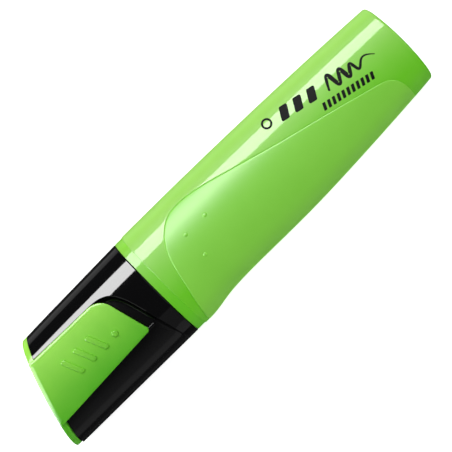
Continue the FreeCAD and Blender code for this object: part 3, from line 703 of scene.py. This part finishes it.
def add_dome(form, x, y):
    """Low round dot on the grip's face."""
    foot, normal = skin(grip_section, x, top_q(grip_section(x), y))
    ahead = np.array([1.0, 0, 0])
    aside = np.cross(normal, ahead)
    turns = np.linspace(0, 2 * math.pi, DOT_SIDES + 1)[:-1, None]
    around_dot = ahead * np.cos(turns), aside * np.sin(turns)
    rows = []
    for angle in np.linspace(0, math.pi / 2, DOT_RINGS + 1)[:-1]:
        reach = DOT_RADIUS * (math.cos(angle) ** DOT_SHAPE)
        lift = DOT_RISE * math.sin(angle) - DOT_SINK
        rows.append(foot + (around_dot[0] * reach + around_dot[1] * reach + normal * lift))
    form.band(rows)
    form.fan(rows[-1], foot + normal * (DOT_RISE - DOT_SINK))
    form.fan(rows[0][::-1], foot - normal * DOT_SINK)


def build_grip():
    form = Form()
    form.patch(place_on(grip_section), leaf_loop(*grip_rim), GRIP_SPACING)
    rows = rim_rows(grip_section, -1, GRIP_LIP, GRIP_DROP)
    foot = skin(grip_section, *grip_foot, GRIP_DEPTH)[0]
    form.band([mirrored(row) for row in (*rows, foot)])
    form.patch(place_on(grip_section, GRIP_DEPTH), leaf_loop(*grip_foot), HIDDEN_SPACING)
    for dot in DOTS:
        add_dome(form, *dot)
    return make("grip_pad", form, "grip_green", grip_rubber)


PRINT_START, PRINT_SLOPE = (-45.8, -8.7), math.radians(12)
INK = 0.012  # how far the print stands out
STROKE_POINTS = 90


def on_barrel(flat):
    """Lifts plan points onto the top of the barrel."""
    x = flat[:, 0]
    points, normals = skin(barrel_section, x, top_q(barrel_section(x), flat[:, 1]))
    return points + INK * normals


def along_print(shape):
    """Plan points of a shape drawn along (towards the rear) and across the print's own line."""
    shape = np.asarray(shape, float)
    along, across = shape[:, 0], shape[:, 1]
    x = PRINT_START[0] - along * math.cos(PRINT_SLOPE) + across * math.sin(PRINT_SLOPE)
    y = PRINT_START[1] + along * math.sin(PRINT_SLOPE) + across * math.cos(PRINT_SLOPE)
    return np.stack([x, y], axis=1)


def disc(centre, radius, count=48):
    turns = np.linspace(0, 2 * math.pi, count + 1)[:-1]
    return np.array(centre) + radius * np.stack([np.cos(turns), np.sin(turns)], axis=1)


def stroke(points, widths):
    """Outline of a brush stroke through the points, as wide as the widths along it."""
    line = path(points, STROKE_POINTS)
    share = np.linspace(0, 1, len(line))
    half = np.interp(share, np.linspace(0, 1, len(widths)), widths) / 2
    return np.concatenate([offset(line, half), offset(line, -half)[::-1]])


RING_OUTER, RING_INNER = 1.35, 0.85
BAR_STARTS, BAR_REACH, BAR_LEAN, BAR_WIDTH = (3.2, 7.0, 10.8), 1.7, 1.2, 2.2
BAR_CORNER, BAR_STEP = 0.4, 0.25
TICK_STARTS, TICK_HIGH, TICK_LOW = np.arange(12.9, 27.0, 1.32), 4.95, 3.1
TICK_LEAN, TICK_WIDTH, TICK_CORNER, TICK_STEP = 0.45, 0.8, 0.15, 0.2
RING_SPACING, BAR_SPACING, SCRIBBLE_SPACING, TICK_SPACING = 0.4, 0.5, 0.3, 0.4
SCRIBBLE = [
    *[(16.4, 1.6), (18.0, -1.7), (19.4, 1.5), (21.0, -1.5), (22.3, 1.3), (23.8, -1.2)],
    *[(25.0, 1.0), (26.6, -0.6), (30.0, 0.1)],
]
SCRIBBLE_WIDTHS = (0.5, 1.1, 0.85, 1.1, 0.8, 0.6, 0.2)


def leaning(start, width, lean, high, low, radius):
    """Corners of a leaning bar."""
    far = start + lean
    return [
        (start, high, radius),
        (far, low, radius),
        (far + width, low, radius),
        (start + width, high, radius),
    ]


def build_print():
    """Generic printed mark: a ring, three leaning bars, a marker's scribble and a row of ticks."""
    form = Form()
    outer, inner = (along_print(disc((0, 0), radius)) for radius in (RING_OUTER, RING_INNER))
    form.patch(on_barrel, outer, 2 * (RING_SPACING,), holes=[inner])
    for start in BAR_STARTS:
        bar = leaning(start, BAR_WIDTH, BAR_LEAN, BAR_REACH, -BAR_REACH, BAR_CORNER)
        outline = along_print(rounded_outline(bar, BAR_STEP))
        form.patch(on_barrel, outline, 2 * (BAR_SPACING,))
    scribble = along_print(stroke(SCRIBBLE, SCRIBBLE_WIDTHS))
    form.patch(on_barrel, scribble, 2 * (SCRIBBLE_SPACING,))
    for start in TICK_STARTS:
        tick = leaning(start, TICK_WIDTH, TICK_LEAN, TICK_HIGH, TICK_LOW, TICK_CORNER)
        outline = along_print(rounded_outline(tick, TICK_STEP))
        form.patch(on_barrel, outline, 2 * (TICK_SPACING,))
    return make("printed_mark", form, "cap_black", print_ink)


barrel_shell = build_barrel()
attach(build_print(), "barrel")
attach(barrel_shell, "barrel")
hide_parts("barrel")
grip_pad = build_grip()
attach(grip_pad, "barrel")
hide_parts("grip")

# ---------------------------------------------------------------- cap shell

END_RADIUS, END_CENTRE_Y, END_REACH = 235.5, 69.0, 46.86
PLATE = 1.65
# Where the recess's edge turns along the clip, and how it runs from there.
RECESS_TURN_X, RECESS_TURN_Y, RECESS_SLOPE = 14.0, -7.9, -0.0225
MOUTH_X = SEAM_GAP / 2
MOUTH_ROUND = 0.15
BORE = (12.7, 5.4, 0.0, ROUNDNESS)
BORE_DROP = 0.5
SHEAR_START, SHEAR_POWER = 22.0, 1.5
CAP_SPACING, FLOOR_SPACING, END_SPACING = (0.8, 0.62), (0.8, 0.7), (1.5, 1.5)


def end_x(y, radius):
    """Where a cylinder about the end's centre line cuts the height y of the plan."""
    return END_REACH - END_RADIUS + np.sqrt(radius**2 - (y - END_CENTRE_Y) ** 2)


SHELL_END = float(end_x(0.0, END_RADIUS - PLATE))


def sheared(points):
    """The cap's last stretch follows the slanted end."""
    moved = points.copy()
    share = np.clip((points[:, 0] - SHEAR_START) / (SHELL_END - SHEAR_START), 0, 1)
    moved[:, 0] += share**SHEAR_POWER * (end_x(points[:, 1], END_RADIUS - PLATE) - SHELL_END)
    return moved


# Edge of the recess, from the +Y side over the top to where it runs straight to the end.
RECESS_RIM = path(
    [
        *[(2.4, 15.2), (3.2, 9.9), (4.6, 3.9), (6.3, -2.4), (8.5, -6.1), (10.9, -7.47)],
        (RECESS_TURN_X, RECESS_TURN_Y),
        (RECESS_TURN_X + 4.0, RECESS_TURN_Y + 4.0 * RECESS_SLOPE),
    ]
)
CORNER = 1.0  # radius of the recess's corner on the +Y side, along the surface
EDGE_STEP, EDGE_MARGIN = 0.3, 1e-4
CORNER_STEPS, WALL_STEPS = 8, 8
STRAIGHT_POINTS, LEDGE_POINTS, END_POINTS, FLOOR_POINTS = 40, 60, 110, 40
LIP, LEDGE_LIP_LESS, CLIP_LIP_LESS = 0.2, 0.08, 0.17
RUN, LEDGE_RUN_LESS, CLIP_RUN_LESS, SIDE_RUN_LESS = 1.25, 1.2, 0.95, 0.6  # wall from lip to foot
LEDGE_Q, LEAST_FOOT_Q = 0.12, 0.012
CORNER_REACH = 0.94
CLIP_FROM, CLIP_OVER = 9.0, 5.0
SIDE_FROM, SIDE_OVER = 5.0, 8.0


def edge_frames(x, q):
    """Points, normals and directions on the surface, to the left, along an edge of the cap."""
    points, normals = skin(cap_section, x, q)
    sideways = np.cross(normals, np.gradient(points, axis=0))
    sideways /= np.linalg.norm(sideways, axis=1)[:, None]
    return points, normals, sideways


def recess_edge():
    """(x, q) along the recess's edge, from its corner: over the top to the end, and the ledge."""
    curve = RECESS_RIM[RECESS_RIM[:, 0] < RECESS_TURN_X]
    half_width, _, centre, _ = cap_section(curve[:, 0])
    curve = curve[curve[:, 1] < half_width + centre - EDGE_MARGIN]
    sections = cap_section(curve[:, 0])
    q = top_q(sections, curve[:, 1])
    length = arcs(sections)[3]
    keep = q * length > CORNER
    x, q = curve[keep, 0], q[keep]
    straight = np.linspace(RECESS_TURN_X, SHELL_END, STRAIGHT_POINTS)
    straight_y = RECESS_TURN_Y + RECESS_SLOPE * (straight - RECESS_TURN_X)
    x = np.concatenate([x, straight])
    q = np.concatenate([q, top_q(cap_section(straight), straight_y)])
    way = way_along(skin(cap_section, x, q)[0])
    even = np.linspace(0, way[-1], int(way[-1] / EDGE_STEP))
    upper = np.interp(even, way, x), np.interp(even, way, q)
    turns = np.linspace(0, math.pi / 2, CORNER_STEPS + 1)
    corner_x = x[0] + CORNER * (1 - np.cos(turns))
    corner_q = CORNER * (1 - np.sin(turns)) / float(length[0])
    ledge_x = np.linspace(corner_x[-1], SHELL_END, LEDGE_POINTS)[1:]
    ledge = np.concatenate([corner_x, ledge_x]), np.concatenate([corner_q, 0 * ledge_x])
    upper[1][0] = ledge[1][0]
    return upper, ledge


def cap_rows(q, points, normals, sideways):
    """Rows from the recess's edge over its lip and down its wall to the floor."""
    inwards = -sideways
    on_ledge = smoothstep((LEDGE_Q - q) / LEDGE_Q)
    by_clip = smoothstep((points[:, 0] - CLIP_FROM) / CLIP_OVER) * (points[:, 1] < 0)
    lip = LIP - LEDGE_LIP_LESS * on_ledge - CLIP_LIP_LESS * by_clip
    run = RUN - CLIP_RUN_LESS * by_clip - LEDGE_RUN_LESS * on_ledge
    run *= 1 - SIDE_RUN_LESS * smoothstep((points[:, 1] - SIDE_FROM) / SIDE_OVER)
    down = np.where(normals[:, 1:2] > 0, -normals, (0.0, 0.0, -1.0))
    over, under = inwards * lip[:, None], down * lip[:, None]
    rows = [points + over * a + under * b for a, b in quarter_round(1.0)]
    target = points + inwards * (lip + run)[:, None]
    section = floor_section(target[:, 0])
    by_height = locate(section, target[:, 1], np.maximum(target[:, 2], 0))
    by_plan = top_q(section, target[:, 1])
    foot_q = np.where(points[:, 1] > 0, by_height, by_plan)
    foot_q = np.where(q <= 0, LEAST_FOOT_Q, np.maximum(foot_q, LEAST_FOOT_Q))
    foot = skin(floor_section, target[:, 0], foot_q)[0]
    lip_end = rows[-1]
    corner = lip_end + down * ((foot - lip_end) * down).sum(1)[:, None] * CORNER_REACH
    for t in np.linspace(0, 1, WALL_STEPS + 1)[1:]:
        rows.append((1 - t) ** 2 * lip_end + 2 * t * (1 - t) * corner + t**2 * foot)
    return rows, target[:, 0], foot_q


def bore_section(x):
    return tuple(size + 0 * x for size in BORE)


def shell_end_face(flat):
    """Lifts (y, z) onto the slanted end of the shell."""
    return np.column_stack([end_x(flat[:, 0], END_RADIUS - PLATE), flat])


def build_cap():
    form = Form()
    upper, ledge = recess_edge()
    mouth_x = MOUTH_X + MOUTH_ROUND
    start_q = upper[1][0]
    ring = start_q + FULL_RING
    cut = np.linspace(mouth_x, upper[0][0], MOUTH_CUTS + 1)[1:-1]
    first = [(cut_x, start_q) for cut_x in (mouth_x, *cut)] + list(zip(*upper))
    end_q = np.linspace(upper[1][-1], 2.0, END_POINTS)
    end_row = [(SHELL_END, row_q) for row_q in end_q[1:-1]]
    back = [(spot_x, 2 + spot_q) for spot_x, spot_q in zip(ledge[0][::-1], ledge[1][::-1])]
    back += [(cut_x, 2 + start_q) for cut_x in cut[::-1]]
    mouth_row = [(mouth_x, ring_q) for ring_q in ring[::-1]]
    outline = np.array(first + end_row + back + mouth_row[:-1]) * (1, WIDE)
    edge_x = np.concatenate([upper[0][::-1], ledge[0][1:]])
    edge_q = np.concatenate([upper[1][::-1], ledge[1][1:]])
    points, normals, sideways = edge_frames(edge_x, edge_q)
    support = []
    for gap in SUPPORT_GAPS:
        beside = points + sideways * gap
        beside_q = locate(cap_section(beside[:, 0]), beside[:, 1], beside[:, 2])
        beside_q = np.where(beside_q < start_q, beside_q + 2, beside_q)
        support.append(np.stack([beside[2:-2, 0], beside_q[2:-2] * WIDE], axis=1))
    support.append(row_at(mouth_x + SUPPORT_GAPS[0], ring))
    form.patch(place_on(cap_section, shift=sheared), outline, CAP_SPACING, extra=support)
    rows, foot_x, foot_q = cap_rows(edge_q, points, normals, sideways)
    rows = [sheared(row) for row in rows]
    form.band(rows, closed=False)
    floor_end = np.linspace(foot_q[-1], foot_q[0], FLOOR_POINTS)
    floor_edge = np.stack([foot_x, foot_q * WIDE], axis=1)
    floor_outline = np.concatenate([floor_edge, row_at(SHELL_END, floor_end)])
    place = place_on(floor_section, shift=sheared)
    form.patch(place, floor_outline, FLOOR_SPACING, finish=1)
    rounding = quarter_round(MOUTH_ROUND)
    mouth_rows = [skin(cap_section, mouth_x - a, ring[:-1], b)[0] for a, b in rounding]
    bore_rows = []
    for row_x in np.linspace(MOUTH_X, SHELL_END, BORE_ROWS):
        row = skin(bore_section, row_x, ring[:-1])[0]
        bore_rows.append(sheared(row - (0, 0, BORE_DROP)))
    form.band(mouth_rows + bore_rows)
    skin_end = sheared(skin(cap_section, SHELL_END, end_q)[0])
    floor_row = sheared(skin(floor_section, SHELL_END, floor_end)[0])
    seam_low = np.array([row[-1] for row in rows[1:-1]])
    seam_high = np.array([row[0] for row in rows[1:-1]])[::-1]
    end_loop = np.concatenate([skin_end, seam_low, floor_row, seam_high])
    form.patch(shell_end_face, end_loop[:, 1:], END_SPACING, holes=[bore_rows[-1][:, 1:]])
    return make("cap_moulding", form, "cap_black", cap_plastic, cap_satin)


ROLL_TURN = math.radians(13)
ROLL_STEPS = 4
SLAB_SPACING = (0.9, 0.7)
FINE_SPACING = 0.4  # with no more than this a face needs no support beside its edge


def slab(form, outline, top, lip, thickness, roll=None, foot=0.15, spacing=SLAB_SPACING, steps=6):
    """Closed slab over a plan outline: top(x, y) is its upper face, lip the upper edge's radius.

    The face rolls down with a larger radius, if roll is given, before it turns over the edge.
    """
    lip = np.broadcast_to(lip, (len(outline),))
    roll = np.broadcast_to(lip if roll is None else roll, (len(outline),))
    rolled = (roll - lip) * math.sin(ROLL_TURN), (roll - lip) * (1 - math.cos(ROLL_TURN))

    def lifted(inset, drop):
        flat = offset(outline, inset, closed=True)
        return np.column_stack([flat, top(flat[:, 0], flat[:, 1]) - drop])

    def upper_face(flat):
        return np.column_stack([flat, top(flat[:, 0], flat[:, 1])])

    def lower_face(flat):
        return upper_face(flat) - (0, 0, thickness)

    rows = [
        lifted(lip + rolled[0] - roll * math.sin(a), roll * (1 - math.cos(a)))
        for a in np.linspace(0, ROLL_TURN, ROLL_STEPS + 1)[:-1]
    ]
    rows += [
        lifted(lip * (1 - math.sin(a)), rolled[1] + lip * (1 - math.cos(a)))
        for a in np.linspace(ROLL_TURN, math.pi / 2, steps)
    ]
    rows += [
        lifted(foot * (1 - math.sin(a)), thickness - foot * (1 - math.cos(a)))
        for a in np.linspace(0, math.pi / 2, steps + 1)[::-1]
    ]
    form.band(rows)
    edge = rows[0][:, :2]
    support = [offset(edge, gap, closed=True) for gap in SUPPORT_GAPS]
    needed = min(spacing) > FINE_SPACING
    form.patch(upper_face, edge, spacing, extra=support if needed else ())
    form.patch(lower_face, rows[-1][:, :2], tuple(2 * step for step in spacing))


RIB_START, RIB_END, RIB_LOW_Y, RIB_HIGH_Y = 5.9, 14.9, 5.35, 6.1
RIB_RISE, RIB_LIP, RIB_THICKNESS, RIB_CORNER = 0.42, 0.2, 1.4, 0.3
RIB_STEP, RIB_SPACING = 0.25, (0.3, 0.3)


def rib_top(x, y):
    return RECESS_FLOOR + RIB_RISE + 0 * x


def guide_rib():
    """Low rib on the recess's floor beside the clip's tip."""
    form = Form()
    low = [(x, RIB_LOW_Y, RIB_CORNER) for x in (RIB_START, RIB_END)]
    high = [(x, RIB_HIGH_Y, RIB_CORNER) for x in (RIB_END, RIB_START)]
    outline = rounded_outline(low + high, RIB_STEP)
    slab(form, outline, rib_top, RIB_LIP, RIB_THICKNESS, spacing=RIB_SPACING)
    return make("guide_rib", form, "cap_black", cap_plastic)


cap_moulding = build_cap()
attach(cap_moulding, "cap")
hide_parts("cap_shell")
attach(guide_rib(), "cap")

# ---------------------------------------------------------------- end plate and clip

PLATE_OUT, PLATE_IN = END_RADIUS - 0.08, END_RADIUS - 1.62
PLATE_CEILING = 7.6
PLATE_ROUND, PLATE_INNER_ROUND = 0.4, 0.15
CROWN = 45.0
TONGUE_THICKNESS = 1.35
TONGUE_LOW_Y, TONGUE_HIGH_Y = -8.24, 7.55
TONGUE_LIP, TONGUE_ROLL, TONGUE_BEND, TONGUE_FOOT = 0.1, 3.0, 1.3, 0.08
BEND_FROM, BEND_OVER = 0.3, 0.6
TIP_CORNERS = ((11.0, -7.75, 4.6), (7.4, 6.1, 0.8))
ROOT_CORNER, END_CURVE_STEPS = 0.5, 5
JOINED = 0.95  # share of the end's radius at which corners along it join into its curve
TONGUE_STEP = 0.3
# The raised marks on the clip: leaning bars and a disc.
MARK_RISE, MARK_LIP, MARK_THICKNESS = 0.42, 0.38, 0.7
RAISED_MIDDLES, RAISED_CORNER, RAISED_STEP = (18.4, 22.4, 26.4), 0.55, 0.2
RAISED_SPOTS = ((-0.4, 2.2), (-1.9, 2.2), (0.4, -3.4), (1.9, -3.4))
RAISED_DISC, DISC_SIDES = ((13.9, 0.9), 0.85), 36
RAISED_SPACING, DISC_SPACING = (0.5, 0.5), (0.4, 0.4)
MARK_STEPS = 5


PLATE_AT, CEILING_SOFTNESS = 36.0, 0.05
PLATE_SPACING, PLATE_SUPPORT = (1.0, 1.0), 0.08


def build_plate():
    form = Form()
    y, z, across, up = around(plate_section(np.full(len(RING), PLATE_AT)), RING)
    over = z - PLATE_CEILING
    z = np.where(z > 0, z - (over + np.sqrt(over**2 + CEILING_SOFTNESS)) / 2, z)

    def row(inset, radius):
        edge_y, edge_z = y - inset * across, z - inset * up
        return np.column_stack([end_x(edge_y, radius), edge_y, edge_z])

    rows = [row(PLATE_ROUND - a, PLATE_OUT - b) for a, b in quarter_round(PLATE_ROUND)]
    inner = quarter_round(PLATE_INNER_ROUND)[::-1]
    rows += [row(PLATE_INNER_ROUND - a, PLATE_IN + b) for a, b in inner]
    form.band(rows)
    for edge, radius in ((rows[0][:, 1:], PLATE_OUT), (rows[-1][:, 1:], PLATE_IN)):

        def face(flat, radius=radius):
            return np.column_stack([end_x(flat[:, 0], radius), flat])

        support = [offset(edge, PLATE_SUPPORT, closed=True)]
        form.patch(face, edge, PLATE_SPACING, extra=support)
    return make("end_plate", form, "clip_green", clip_plastic)


def tongue_top(x, y):
    return TONGUE_TOP - CROWN + np.sqrt(CROWN**2 - y**2)


def tongue_outline():
    """Plan of the clip: blunt slanted tip, wide round corner, and the curve of the pen's end."""
    corners = list(TIP_CORNERS)
    for y in np.linspace(TONGUE_HIGH_Y, TONGUE_LOW_Y, END_CURVE_STEPS + 1):
        radius = ROOT_CORNER if y in (TONGUE_HIGH_Y, TONGUE_LOW_Y) else JOINED * END_RADIUS
        corners.append((float(end_x(y, END_RADIUS)), float(y), radius))
    return rounded_outline(corners, TONGUE_STEP)[::-1]


def mark_top(x, y):
    return tongue_top(x, y) + MARK_RISE


def add_mark(form, outline, spacing):
    lip, thickness = MARK_LIP, MARK_THICKNESS
    slab(form, outline, mark_top, lip, thickness, spacing=spacing, steps=MARK_STEPS)


def build_tongue():
    form = Form()
    outline = tongue_outline()
    along = np.roll(outline, -1, axis=0) - np.roll(outline, 1, axis=0)
    outward_x = along[:, 1] / np.linalg.norm(along, axis=1)
    bend = smoothstep((outward_x - BEND_FROM) / BEND_OVER)  # 1 where the edge faces the end
    lip = TONGUE_LIP + (TONGUE_BEND - TONGUE_LIP) * bend
    roll = TONGUE_ROLL + (TONGUE_BEND - TONGUE_ROLL) * bend
    slab(form, outline, tongue_top, lip, TONGUE_THICKNESS, roll, foot=TONGUE_FOOT)
    for middle_x in RAISED_MIDDLES:
        bar = [(middle_x + x, y, RAISED_CORNER) for x, y in RAISED_SPOTS]
        add_mark(form, rounded_outline(bar, RAISED_STEP), RAISED_SPACING)
    add_mark(form, disc(*RAISED_DISC, DISC_SIDES), DISC_SPACING)
    return make("clip_moulding", form, "clip_green", clip_plastic)


end_plate = build_plate()
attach(end_plate, "cap")
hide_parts("cap_end")
clip_moulding = build_tongue()
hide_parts("clip_tongue")
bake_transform(clip_moulding)

# ---------------------------------------------------------------- floor, light and camera


FLOOR_HALF, FLOOR_WHITE, FLOOR_GLOW = 3.0, (0.9, 0.9, 0.9, 1), 0.75
WHITE = (1, 1, 1, 1)


def stage_floor():
    mesh = bpy.data.meshes.new("floor")
    corners = [(-1, -1), (1, -1), (1, 1), (-1, 1)]
    spots = [(FLOOR_HALF * x, FLOOR_HALF * y, 0) for x, y in corners]
    mesh.from_pydata(spots, [], [(0, 1, 2, 3)])
    material = bpy.data.materials.new("floor_white")
    shader = shader_of(material)
    preset(shader, Base_Color=FLOOR_WHITE, Roughness=0.9)
    preset(shader, Emission_Color=WHITE, Emission_Strength=FLOOR_GLOW)
    mesh.materials.append(material)
    floor = bpy.data.objects.new("floor", mesh)
    bpy.context.scene.collection.objects.link(floor)
    floor.visible_glossy = False


AIM_BACK, AIM_Y = 22.0, 1.48  # the middle of the picture: how far behind the seam, and its y
AIM = Vector(((SEAM - AIM_BACK) * MM, AIM_Y * MM, AXIS * MM))


def face_towards(thing, side, away):
    """Turns a light or camera so that its back faces along away and its x is nearest to side."""
    side = (side - away * side.dot(away)).normalized()
    thing.rotation_mode = "QUATERNION"
    turned = Matrix((side, away.cross(side), away)).transposed()
    thing.rotation_quaternion = turned.to_quaternion()
    bpy.context.scene.collection.objects.link(thing)


def softbox(name, angle, end_angle, width, length, distance, radiance, seen):
    """Rectangular light that faces the pen, at an angle from straight above towards +Y, or +X.

    One that isn't seen in reflections only fills; one that is seen only makes a highlight.
    """
    data = bpy.data.lights.new(name, "AREA")
    data.shape = "RECTANGLE"
    data.size, data.size_y = length, width
    data.energy = radiance * math.pi * width * length
    light = bpy.data.objects.new(name, data)
    a, b = math.radians(angle), math.radians(end_angle)
    upright = math.cos(a) * math.cos(b)
    towards = Vector((math.sin(b) * math.cos(a), math.sin(a), upright)).normalized()
    light.location = AIM + towards * distance
    face_towards(light, Vector((1, 0, 0)) if end_angle == 0 else Vector((0, 1, 0)), towards)
    light.visible_camera = False
    light.visible_glossy = seen
    light.visible_diffuse = not seen


# Name, angle, end angle, width, length, distance, radiance, and whether reflections show it.
LIGHTS = (
    ("strip", -39, 0, 0.16, 0.62, 0.6, 17.0, True),
    ("low_card", -111, 0, 0.35, 0.9, 0.6, 0.5, True),
    ("side_card_near", 38, 0, 0.244, 0.9, 0.6, 0.12, True),
    ("side_card_far", 70, 0, 0.437, 0.9, 0.6, 0.28, True),
    ("key", -45, 0, 0.7, 0.9, 0.9, 3.0, False),
    ("overhead", 0, 0, 0.9, 0.9, 0.7, 0.85, False),
    ("fill", 60, 0, 0.7, 0.9, 0.9, 0.6, False),
    ("cap_end_strip", -20, 88, 1.3, 0.35, 0.6, 8.0, True),
    ("cap_end_fill", 0, 60, 0.5, 0.5, 0.8, 1.5, True),
    ("rear_end_fill", 0, -60, 0.5, 0.5, 0.8, 1.5, True),
)
WORLD_STRENGTH = 0.045


def studio():
    world = bpy.data.worlds.new("studio")
    world.use_nodes = True
    preset(world.node_tree.nodes["Background"], Color=WHITE, Strength=WORLD_STRENGTH)
    bpy.context.scene.world = world
    for light in LIGHTS:
        softbox(*light)


SENSOR, LENS, NEAREST, FURTHEST = 36, 127, 0.02, 20
CAMERA_DISTANCE, CAMERA_TILT = 0.380, math.radians(1.35)


def camera():
    data = bpy.data.cameras.new("camera")
    data.sensor_width = SENSOR
    data.lens = LENS
    data.clip_start, data.clip_end = NEAREST, FURTHEST
    view = bpy.data.objects.new("camera", data)
    back = Vector((-math.sin(CAMERA_TILT), 0, math.cos(CAMERA_TILT)))
    view.location = AIM + back * CAMERA_DISTANCE
    face_towards(view, Vector((-1, 1, 0)).normalized(), back)
    bpy.context.scene.camera = view


stage_floor()
studio()
camera()
bpy.context.scene.view_settings.view_transform = "Standard"
